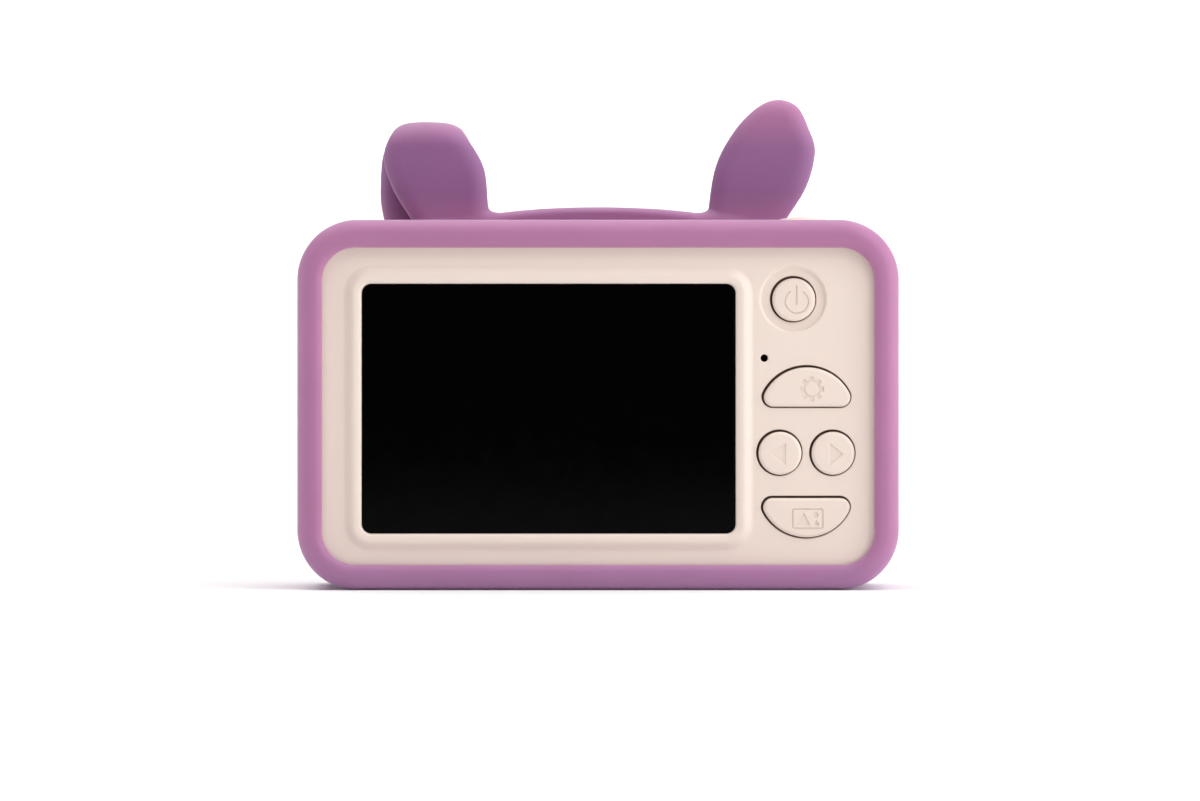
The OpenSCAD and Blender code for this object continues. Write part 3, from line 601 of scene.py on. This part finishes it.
def silicone_cover():
    step = NET_STEP
    margin = 2.3 * step
    points, faces = surface_net(cover_field, cover_low - margin, cover_high + margin, step)
    points, normals = settle(points, 2)
    mesh = bpy.data.meshes.new("silicone_cover_skin")
    mesh.from_pydata(points * MM, [], faces)
    obj = bpy.data.objects.new("silicone_cover_skin", mesh)
    bpy.context.scene.collection.objects.link(obj)
    if 2 * len(faces) > MOST_TRIANGLES:
        thin = obj.modifiers.new("thin", "DECIMATE")
        thin.ratio = MOST_TRIANGLES / (2 * len(faces))
        graph = bpy.context.evaluated_depsgraph_get()
        mesh = bpy.data.meshes.new_from_object(obj.evaluated_get(graph))
        obj.modifiers.clear()
        obj.data = mesh
    points = np.zeros(len(mesh.vertices) * 3)
    mesh.vertices.foreach_get("co", points)
    points, normals = settle(points.reshape(-1, 3) / MM, 1)
    mesh.vertices.foreach_set("co", (points * MM).ravel())
    mesh.update()
    mesh.shade_smooth()
    mesh.normals_split_custom_set_from_vertices(normals)
    return finish_piece(obj, "camera", "silicone_cover", "silicone")


# ---- Case ----

def bezel_profile():
    """Ridge round the window, from its outer foot over the crest to the window's edge."""
    crest = BEZEL_CREST
    outer = [(crest + (BEZEL_FOOT - crest) * t, BEZEL_H * (0.5 + 0.5 * math.cos(math.pi * t)))
             for t in np.linspace(1, 0, 15)]
    inner = [(crest * (1 - math.sin(t)), BEZEL_H - 0.5 * (1 - math.cos(t)))
             for t in np.linspace(0, math.pi / 2, 9)[1:]]
    return [(grow, PLATE_Y - rise) for grow, rise in outer + inner]


def plate_hole(skin, shape):
    """Hole through the plate with a small round edge. Returns its rings front and back."""
    profile = quarter(PLATE_EDGE, PLATE_Y, 0, PLATE_Y + PLATE_EDGE, 4)
    return skin.sweep(shape, profile + [(0, PLATE_BACK)])


def cap_centre(node):
    return middle(node)[[0, 2]] - CAP_SAG


def moon_centres():
    """Circle centres of the settings and gallery holes, from their flanges' straight sides."""
    over = FLANGE_OVER - CAP_GAP
    settings_low, _ = box_mm("settings_cap")
    _, gallery_high = box_mm("gallery_cap")
    x1 = middle("settings_cap")[0]
    x2 = middle("gallery_cap")[0]
    return (np.array((x1, settings_low[2] + over - MOON_FLAT)) - CAP_SAG,
            np.array((x2, gallery_high[2] - over + MOON_FLAT)) - CAP_SAG)


def rear_shell():
    skin = Skin()
    outline = round_rect(0, MID_Z, CASE_W, CASE_H, CASE_R)
    edge, rim = 0.6, 0.15
    profile = quarter(-edge, PLATE_Y, 0, PLATE_Y + edge)
    profile += [(0, SPLIT_Y - rim), (-rim, SPLIT_Y), (rim - CASE_WALL, SPLIT_Y),
                (-CASE_WALL, SPLIT_Y - rim), (-CASE_WALL, PLATE_BACK)]
    front, back = skin.sweep(outline, profile)
    holes = []
    # window recess with its ledge and the opening behind it
    size = window_high - window_low
    at = (window_low + window_high) / 2
    window = round_rect(at[0], at[2], size[0] + 2 * WINDOW_FIT, size[2] + 2 * WINDOW_FIT, 1.6)
    view = round_rect(at[0], at[2], VIEW_W, VIEW_H, 0.3)
    ledge = window_high[1] + 0.2
    bezel_front, bezel_back = skin.sweep(window, bezel_profile() + [(0, ledge)])
    view_front, view_back = skin.sweep(view, [(0, ledge), (0, PLATE_BACK)])
    skin.band(bezel_back, view_front)
    holes.append((bezel_front, view_back))
    # power button's dish
    power = cap_centre("power_cap")
    floor = PLATE_Y + DISH_DEEP
    r = ROUND_HOLE_R
    dish = quarter(DISH_R + 0.3, PLATE_Y, DISH_R - 0.05, PLATE_Y + 0.3, 5)
    dish += quarter(DISH_R - 0.05, floor - 0.2, DISH_R - 0.3, floor, 5, hollow=True)
    dish += quarter(r + PLATE_EDGE, floor, r, floor + PLATE_EDGE, 4) + [(r, PLATE_BACK)]
    holes.append(skin.sweep(circle(*power, 0), dish))
    for node in ("left_cap", "right_cap"):
        holes.append(plate_hole(skin, circle(*cap_centre(node), r)))
    settings, gallery = moon_centres()
    holes.append(plate_hole(skin, half_moon(*settings, 1)))
    holes.append(plate_hole(skin, half_moon(*gallery, -1)))
    holes.append(plate_hole(skin, circle(*MIC_AT, MIC_HOLE_R, 32)))
    skin.flat(front, [hole[0] for hole in holes])
    skin.flat(back, [hole[1] for hole in holes])
    shell = skin.build("rear_shell_skin")
    # slots of the plug and the card, and the hole of the shutter button
    tools = []
    for node, room in (("usb_port", (0.15, 0.15)), ("memory_card", (0.25, 0.3))):
        low, high = box_mm(node)
        tool = Skin()
        tool.block((-CASE_W / 2 - 1, low[1] - room[0], low[2] - room[1]),
                   (-CASE_W / 2 + CASE_WALL + 1, high[1] + room[0], high[2] + room[1]))
        tools.append(tool.build("slot"))
    tool = Skin()
    low, high = tool.sweep(circle(*SHUTTER_AT, SHUTTER_BORE_R), [(0, 54), (0, 62)])
    tool.flat(low)
    tool.flat(high)
    bore = tool.build("bore")
    stand_up(bore)
    cut(shell, tools + [bore])
    # screw bosses, screen frame and the bracket of the shutter board
    ribs = Skin()
    screws_low, screws_high = box_mm("case_screws")
    for x in (screws_low[0] + SCREW_HEAD_R, screws_high[0] - SCREW_HEAD_R):
        for z in (screws_low[2] + SCREW_HEAD_R, screws_high[2] - SCREW_HEAD_R):
            ribs.tube(circle(x, z, 2.6, 48), circle(x, z, 1.05, 48), PLATE_BACK - 0.3, SPLIT_Y)
    board_y = box_mm("main_board")[0][1]
    for x, z in BOARD_POSTS:
        ribs.tube(circle(x, z, 1.4, 40), circle(x, z, 0.75, 40), PLATE_BACK - 0.3, board_y)
    low, high = box_mm("lcd_panel")
    frame_in = round_rect(at[0], at[2], high[0] - low[0] + 0.3, high[2] - low[2] + 0.3, 0.3)
    frame_out = round_rect(at[0], at[2], high[0] - low[0] + 2.3, high[2] - low[2] + 2.3, 1)
    ribs.tube(frame_out, frame_in, PLATE_BACK - 0.3, box_mm("lcd_backlight")[1][1] - 0.1)
    low, high = box_mm("shutter_board")
    shelf_y = (low[1] - 0.2, SPLIT_Y - 2)
    ribs.block((low[0] - 1.3, shelf_y[0], low[2] - 2), (low[0] - 0.1, shelf_y[1], 57.6))
    ribs.block((low[0] - 0.2, shelf_y[0], low[2] - 2), (low[0] + 1.3, shelf_y[1], low[2]))
    ribs.block((high[0] - 1, shelf_y[0], low[2] - 2), (46, shelf_y[1], low[2]))
    join(shell, [ribs.build("ribs")])
    smooth(shell)
    return finish_piece(shell, "camera", "rear_shell", "cream_shell")


def screen_window():
    skin = Skin()
    size = window_high - window_low
    at = (window_low + window_high) / 2
    shape = round_rect(at[0], at[2], size[0], size[2], 1.52)
    edge = 0.3
    profile = quarter(-edge, window_low[1], 0, window_low[1] + edge) + [(0, window_high[1])]
    front, back = skin.sweep(shape, profile)
    skin.flat(front)
    skin.flat(back)
    obj = smooth(skin.build("screen_window_skin"))
    return finish_piece(obj, "camera", "screen_window", "screen_black")


# ---- Buttons ----

def button(name, shape, body, pockets):
    """Cap of outline shape with its flange, stem and recessed symbol."""
    skin = Skin()
    low, high = box_mm(name)
    face, back = low[1], PLATE_BACK + FLANGE_T
    stem_at = middle(name.replace("cap", "plunger"))
    over = FLANGE_OVER
    profile = [(over - 0.1, back), (over, back - 0.1), (over, PLATE_BACK + 0.1),
               (over - 0.1, PLATE_BACK), (0, PLATE_BACK)]
    profile += quarter(-CAP_EDGE, face, 0, face + CAP_EDGE, 8)[::-1]
    flange, top = skin.sweep(shape, profile)
    stem = circle(stem_at[0] + CAP_SAG[0], stem_at[2] + CAP_SAG[1], STEM_R, 48)
    foot, end = skin.sweep(stem, [(0, back), (0, high[1] - 0.1), (-0.1, high[1])])
    skin.flat(flange, [foot])
    skin.flat(end)
    skin.face(top, face, SYMBOL_DEEP, pockets)
    obj = smooth(skin.build(name + "_skin"), 20)
    return finish_piece(obj, body, name, "cream_caps")


def buttons():
    r = ROUND_HOLE_R - CAP_GAP
    # power: broken ring and a bar
    x, z = middle("power_cap")[[0, 2]]
    ring = bent_slot(x + 0.4, z - 0.32, 1.93, 126, 414, 0.28)
    bar = round_rect(x + 0.4, z + 0.72, 0.28, 3.2, 0.13, 5)
    button("power_cap", circle(x, z, r), "power_button", [(ring, []), (bar, [])])
    # left and right: triangles
    x, z = middle("left_cap")[[0, 2]]
    arrow = rounded_poly([(x - 1.75, z - 0.1), (x + 0.95, z - 2.05), (x + 0.95, z + 1.85)], 0.18)
    button("left_cap", circle(x, z, r), "left_button", [(arrow, [])])
    x, z = middle("right_cap")[[0, 2]]
    arrow = rounded_poly([(x + 1.7, z - 0.1), (x - 0.7, z + 1.85), (x - 0.7, z - 2.05)], 0.18)
    button("right_cap", circle(x, z, r), "right_button", [(arrow, [])])
    # settings: gear
    settings, gallery = moon_centres()
    x, z = settings + CAP_SAG
    cog = gear(x + 0.7, z + 4.3, 1.5, 2.05, 8)
    hub = circle(x + 0.7, z + 4.3, 1.05, 48)
    button("settings_cap", lambda grow: half_moon(x, z, 1)(grow - CAP_GAP), "settings_button",
           [(cog, [(hub, [])])])
    # gallery: framed picture of a hill and a sun
    x, z = gallery + CAP_SAG
    cx, cz = x + 0.15, z - 4.8
    border = round_rect(cx, cz, 5.25, 3.45, 0.4, 6)
    picture = round_rect(cx, cz, 4.75, 2.95, 0.2, 6)
    hill = rounded_poly([(cx - 1.9, cz - 1.1), (cx + 0.5, cz - 1.1), (cx - 0.65, cz + 1.05)], 0.12)
    knoll = rounded_poly([(cx + 0.8, cz - 1.1), (cx + 2, cz - 1.1), (cx + 1.45, cz - 0.2)], 0.1)
    sun = circle(cx + 1.35, cz + 0.6, 0.42, 24)
    inner = [(hill, []), (knoll, []), (sun, [])]
    button("gallery_cap", lambda grow: half_moon(x, z, -1)(grow - CAP_GAP), "gallery_button",
           [(border, [(picture, inner)])])


def shutter_cap():
    """Domed cap of the shutter button, turned about Z."""
    x, y = SHUTTER_AT
    top, r, dome_r = shutter_high[2], 4.8, 18
    low = shutter_low[2]
    inner = 57.3
    slant = math.degrees(math.asin((r - 0.5) / dome_r))
    profile = [(1.5, low), (1.6, low + 0.1), (1.6, inner - 0.8), (r + 0.5, inner - 0.8),
               (r + 0.5, inner), (r, inner)]
    edge_z = top - dome_r + dome_r * math.cos(math.radians(slant))
    profile += [(r - 0.5 + 0.5 * math.cos(t), edge_z - 0.5 + 0.5 * math.sin(t))
                for t in np.linspace(0, math.pi / 2, 6)]
    profile += [(dome_r * math.sin(t), top - dome_r + dome_r * math.cos(t))
                for t in np.radians(np.linspace(slant, 1.5, 10))[1:]]
    skin = Skin()
    rings = [skin.ring(circle(x, y, radius, 72)(0), z) for radius, z in profile]
    skin.bands(rings)
    skin.flat(rings[0])
    skin.flat(rings[-1])
    obj = skin.build("shutter_cap_skin")
    stand_up(obj)
    smooth(obj)
    return finish_piece(obj, "shutter_button", "shutter_cap", "cream_caps")


def lens_parts():
    centre = middle("lens_ring")[[0, 2]]
    r, front, back = (ring_high[0] - ring_low[0]) / 2, ring_high[1], ring_low[1]
    glass_low, glass_high = box_mm("lens_window")
    glass_r = (glass_high[0] - glass_low[0]) / 2
    edge = 1.2
    bore = glass_r + 0.05
    outside = [(r - edge + edge * math.sin(t), front - edge + edge * math.cos(t))
               for t in np.linspace(0, math.pi / 2, 9)]
    # the ring's front falls in two fine steps towards the glass
    steps = [(glass_r - 1, glass_low[1]), (bore, glass_low[1]), (bore, glass_high[1] + 0.2),
             (bore + 0.25, glass_high[1] + 0.35), (bore + 1.1, front - 0.75),
             (bore + 1.3, front - 0.6), (bore + 1.3, front - 0.2), (bore + 1.5, front)]
    profile = [(glass_r - 1, back), *steps, *outside, (r, back)]
    skin = Skin()
    rings = [skin.ring(circle(*centre, radius, 144)(0), y) for radius, y in profile]
    skin.bands(rings + rings[:1])
    obj = smooth(skin.build("lens_ring_skin"), 35)
    finish_piece(obj, "camera", "lens_ring", "ring_cream")
    soft = 0.2
    skin = Skin()
    disc = circle(*centre, glass_r, 128)
    face, under = skin.sweep(disc, [(-soft, glass_high[1]), (0, glass_high[1] - soft),
                                    (0, glass_low[1])])
    skin.flat(face)
    skin.flat(under)
    obj = smooth(skin.build("lens_window_skin"))
    finish_piece(obj, "camera", "lens_window", "lens_glass")


# ---- Materials ----

def srgb(red, green, blue):
    """Linear colour from screen values of 0 to 255."""
    return [((c / 255 + 0.055) / 1.055) ** 2.4 if c > 10 else c / 255 / 12.92
            for c in (red, green, blue)] + [1]


class Finish:
    """Node tree of one material, with a Principled shader at its end."""

    def __init__(self, name, roughness, **sockets):
        self.material = bpy.data.materials.new(name)
        self.material.use_nodes = True
        self.nodes = self.material.node_tree.nodes
        self.shader = self.nodes["Principled BSDF"]
        self.shader.inputs["Roughness"].default_value = roughness
        for socket, value in sockets.items():
            self.shader.inputs[socket.replace("_", " ")].default_value = value
        self.place = self.nodes.new("ShaderNodeTexCoord").outputs["Object"]

    def link(self, output, target):
        self.material.node_tree.links.new(output, target)

    def noise(self, size_mm, detail=3):
        """Noise whose features are size_mm across."""
        node = self.nodes.new("ShaderNodeTexNoise")
        node.inputs["Scale"].default_value = 1 / (size_mm * MM)
        node.inputs["Detail"].default_value = detail
        self.link(self.place, node.inputs["Vector"])
        return node.outputs["Fac"]

    def ramp(self, value, *stops):
        node = self.nodes.new("ShaderNodeValToRGB")
        elements = node.color_ramp.elements
        while len(elements) < len(stops):
            elements.new(0.5)
        for element, (place, color) in zip(elements, stops):
            element.position = place
            element.color = color
        self.link(value, node.inputs["Fac"])
        return node.outputs["Color"]

    def color(self, output):
        self.link(output, self.shader.inputs["Base Color"])

    def vary(self, color, size_mm, share=0.06):
        """Base colour that drifts a little over the surface."""
        dark = [c * (1 - share) for c in color[:3]] + [1]
        light = [min(1, c * (1 + share)) for c in color[:3]] + [1]
        self.color(self.ramp(self.noise(size_mm), (0.35, dark), (0.65, light)))

    def along(self, axis, low, high):
        """0 to 1 from low to high along an axis, in mm."""
        split = self.nodes.new("ShaderNodeSeparateXYZ")
        self.link(self.place, split.inputs["Vector"])
        node = self.nodes.new("ShaderNodeMapRange")
        node.inputs["From Min"].default_value = low * MM
        node.inputs["From Max"].default_value = high * MM
        self.link(split.outputs[axis], node.inputs["Value"])
        return node.outputs["Result"]

    def times(self, first, *others):
        """Product of colours."""
        for other in others:
            node = self.nodes.new("ShaderNodeVectorMath")
            node.operation = "MULTIPLY"
            self.link(first, node.inputs[0])
            self.link(other, node.inputs[1])
            first = node.outputs["Vector"]
        return first

    def shade_gaps(self, color, dark, y0, y1):
        """Base colour with painted shade between the depths y0 and y1, in the gaps round the caps.
        """
        span = y1 - y0 + 2
        self.color(self.ramp(self.along("Y", y0 - 1, y1 + 1), (1 / span, color),
                             (1.5 / span, dark), ((span - 1.3) / span, dark),
                             ((span - 1) / span, color)))

    def rough(self, size_mm, low, high):
        node = self.nodes.new("ShaderNodeMapRange")
        node.inputs["From Min"].default_value = 0.3
        node.inputs["From Max"].default_value = 0.7
        node.inputs["To Min"].default_value = low
        node.inputs["To Max"].default_value = high
        self.link(self.noise(size_mm), node.inputs["Value"])
        self.link(node.outputs["Result"], self.shader.inputs["Roughness"])

    def bump(self, size_mm, deep_mm, detail=2, after=None):
        """Fine relief, laid over the bump node after, if there is one."""
        node = self.nodes.new("ShaderNodeBump")
        node.inputs["Strength"].default_value = 1
        node.inputs["Distance"].default_value = deep_mm * MM
        self.link(self.noise(size_mm, detail), node.inputs["Height"])
        if after:
            self.link(after.outputs["Normal"], node.inputs["Normal"])
        self.link(node.outputs["Normal"], self.shader.inputs["Normal"])
        return node


def silicone():
    """Matt lilac silicone that lets a little light in, with painted shade in the ears and towards
    the foot.
    """
    finish = Finish("silicone", 0.5, IOR=1.42, Subsurface_Weight=0.35, Subsurface_Scale=0.0016,
                    Subsurface_Radius=(1, 0.55, 0.8), Sheen_Weight=0.35, Sheen_Roughness=0.4)
    # painted shade: darker violet towards the foot, darker in the middle of the ears, fading back
    # to the body colour at the ear tips
    foot, body, ears = srgb(166, 118, 162), srgb(177, 118, 159), srgb(148, 100, 146)
    finish.color(finish.times(
        finish.ramp(finish.along("Z", 0, 82), (0, foot), (0.12, body), (0.74, body),
                    (0.82, ears), (0.91, ears), (1, body)),
        finish.ramp(finish.noise(9), (0.35, [0.96] * 3 + [1]), (0.65, [1] * 4))))
    finish.rough(1.5, 0.46, 0.56)
    finish.bump(0.12, 0.0035, after=finish.bump(1.2, 0.004))
    return finish.material


def moulded(name, color, roughness, grain=0.09, deep=0.0025, share=0.02, gaps=False,
            **sockets):
    """Moulded plastic with a fine grain, with painted shade in the gaps round the caps if asked."""
    finish = Finish(name, roughness, **sockets)
    if gaps:
        # painted shade: a brown colour stands in for the shade that falls in the gaps round the
        # caps
        finish.shade_gaps(color, srgb(140, 104, 88), PLATE_Y + 0.55, PLATE_BACK + 0.6)
    else:
        finish.vary(color, 14, share)
    finish.rough(2.5, roughness - 0.04, roughness + 0.04)
    finish.bump(grain, deep)
    return finish.material


def metal(name, color, roughness):
    finish = Finish(name, roughness, Metallic=1)
    finish.vary(color, 3, 0.05)
    finish.rough(0.8, roughness - 0.05, roughness + 0.08)
    finish.bump(0.3, 0.002)
    return finish.material


def clear(name, color, tint_rough=0.03):
    finish = Finish(name, tint_rough, IOR=1.5, Transmission_Weight=0.9)
    finish.vary(color, 6, 0.02)
    finish.bump(4, 0.001)
    return finish.material


def board():
    """Green circuit board with the paler pattern of its tracks."""
    finish = Finish("board_green", 0.35)
    tracks = finish.nodes.new("ShaderNodeTexBrick")
    tracks.inputs["Scale"].default_value = 1 / (3.2 * MM)
    tracks.inputs["Mortar Size"].default_value = 0.06
    tracks.inputs["Color1"].default_value = srgb(16, 74, 40)
    tracks.inputs["Color2"].default_value = srgb(20, 84, 46)
    tracks.inputs["Mortar"].default_value = srgb(46, 122, 72)
    turn = finish.nodes.new("ShaderNodeMapping")
    turn.inputs["Rotation"].default_value = (math.pi / 2, 0, 0)
    finish.link(finish.place, turn.inputs["Vector"])
    finish.link(turn.outputs["Vector"], tracks.inputs["Vector"])
    finish.color(tracks.outputs["Color"])
    finish.bump(0.5, 0.004)
    return finish.material


def make_materials():
    """One material for each slot of the record."""
    return {
        "silicone": silicone(),
        # both cream plastics carry painted shade in the gaps round the caps
        "cream_shell": moulded("cream_shell", srgb(234, 217, 206), 0.42, gaps=True),
        "cream_caps": moulded("cream_caps", srgb(234, 217, 206), 0.38, gaps=True),
        "ring_cream": moulded("ring_cream", srgb(238, 221, 211), 0.35),
        "screen_black": moulded("screen_black", srgb(2, 2, 3), 0.07, deep=0.0004,
                                Specular_IOR_Level=0.04),
        "dark_tape": moulded("dark_tape", srgb(30, 30, 32), 0.7, 0.4, 0.01),
        "foam": moulded("foam", srgb(38, 38, 40), 0.85, 0.3, 0.03),
        "lcd_glass": moulded("lcd_glass", srgb(20, 22, 28), 0.12),
        "backlight": moulded("backlight", srgb(205, 207, 210), 0.4),
        "flex_amber": moulded("flex_amber", srgb(196, 120, 40), 0.35, 0.3, 0.004),
        "switch_black": moulded("switch_black", srgb(34, 34, 36), 0.5),
        "switch_metal": metal("switch_metal", srgb(196, 197, 200), 0.32),
        "board_green": board(),
        "chip_black": moulded("chip_black", srgb(26, 26, 28), 0.55, 0.15, 0.004),
        "gold_can": moulded("gold_can", srgb(58, 50, 42), 0.8, 0.3, 0.02),
        "connector_ivory": moulded("connector_ivory", srgb(226, 219, 202), 0.5),
        "port_metal": metal("port_metal", srgb(202, 204, 208), 0.28),
        "card_black": moulded("card_black", srgb(28, 28, 30), 0.45, 0.12, 0.004),
        "battery_foil": metal("battery_foil", srgb(188, 190, 194), 0.42),
        "white_tape": moulded("white_tape", srgb(232, 231, 224), 0.6, 0.3, 0.006),
        "wire_red": moulded("wire_red", srgb(176, 30, 28), 0.4),
        "wire_black": moulded("wire_black", srgb(24, 24, 25), 0.4),
        "speaker_black": moulded("speaker_black", srgb(40, 40, 43), 0.5),
        "led_yellow": moulded("led_yellow", srgb(236, 214, 120), 0.3),
        "flash_clear": clear("flash_clear", srgb(240, 240, 242), 0.25),
        "sensor_glass": moulded("sensor_glass", srgb(32, 42, 46), 0.08),
        "holder_black": moulded("holder_black", srgb(28, 28, 30), 0.5),
        "barrel_black": moulded("barrel_black", srgb(22, 22, 24), 0.42),
        "lens_glass": clear("lens_glass", srgb(206, 212, 224)),
        "front_glass": clear("front_glass", srgb(214, 226, 238)),
        "steel": metal("steel", srgb(186, 187, 190), 0.3),
    }


def dress(materials):
    """Gives every piece the material of its slot."""
    for part in frame["record"]["subparts"]:
        obj = frame["nodes"][part["node"]]
        obj.data.materials.clear()
        obj.data.materials.append(materials[part["material_slot"]])
    for obj in bpy.data.objects:
        if "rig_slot" in obj:
            obj.data.materials.clear()
            obj.data.materials.append(materials[obj["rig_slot"]])


# ---- Stage, lights and camera ----

def area_light(name, place, target, size, power):
    data = bpy.data.lights.new(name, "AREA")
    data.shape = "RECTANGLE"
    data.size, data.size_y = size
    data.energy = power
    light = bpy.data.objects.new(name, data)
    light.location = place
    light.rotation_euler = (Vector(target) - Vector(place)).to_track_quat("-Z", "Y").to_euler()
    light.visible_camera = False
    bpy.context.scene.collection.objects.link(light)


def stage():
    """White floor that rises into a white backdrop."""
    skin = []
    run, rise, turn_r, half = 0.5, 1.6, 0.5, 2.2
    path = [(-2.0, 0), (run, 0)]
    path += [(run + turn_r * math.sin(t), turn_r * (1 - math.cos(t)))
             for t in np.linspace(0, math.pi / 2, 17)[1:]]
    path.append((run + turn_r, rise))
    for y, z in path:
        skin += [(-half, y, z), (half, y, z)]
    faces = [(2 * i, 2 * i + 1, 2 * i + 3, 2 * i + 2) for i in range(len(path) - 1)]
    mesh = bpy.data.meshes.new("floor")
    mesh.from_pydata(skin, [], faces)
    mesh.shade_smooth()
    floor = bpy.data.objects.new("floor", mesh)
    bpy.context.scene.collection.objects.link(floor)
    finish = Finish("floor_white", 0.9, Specular_IOR_Level=0.1)
    finish.vary(srgb(247, 247, 247), 200, 0.004)
    floor.data.materials.append(finish.material)


def light_scene():
    world = bpy.data.worlds.new("studio")
    bpy.context.scene.world = world
    world.use_nodes = True
    world.node_tree.nodes["Background"].inputs["Color"].default_value = (1, 1, 1, 1)
    world.node_tree.nodes["Background"].inputs["Strength"].default_value = 0.06
    case, backdrop = (0, 0, 0.03), (0, 0.9, 0)
    area_light("key", (0.5, -0.35, 0.45), case, (0.4, 0.4), 1.3)
    area_light("low_key", (0.6, -0.6, 0.15), case, (0.5, 0.5), 1.3)
    area_light("right", (0.8, -0.1, 0.15), case, (0.5, 0.5), 3.2)
    area_light("left", (-0.8, -0.1, 0.15), case, (0.5, 0.5), 1.8)
    area_light("top", (0, -0.05, 0.8), case, (1.2, 1.2), 10)
    area_light("back", (0, 0.45, 0.5), backdrop, (1.2, 0.4), 2.4)
    bpy.context.scene.view_settings.view_transform = "Standard"


def place_camera():
    """Square on to the screen side, at the height of the case's middle."""
    data = bpy.data.cameras.new("camera")
    distance, view_w = 0.7, 0.1987
    aim_x, aim_z = 0.33, 31.46
    data.sensor_width = 36
    data.lens = data.sensor_width * distance / view_w
    data.clip_start = 0.01
    camera = bpy.data.objects.new("camera", data)
    camera.location = (aim_x * MM, REAR_Y * MM - distance, aim_z * MM)
    camera.rotation_euler = (math.pi / 2, 0, 0)
    bpy.context.scene.collection.objects.link(camera)
    bpy.context.scene.camera = camera


place_camera()
silicone_cover()
rear_shell()
screen_window()
buttons()
shutter_cap()
lens_parts()
dress(make_materials())
stage()
light_scene()
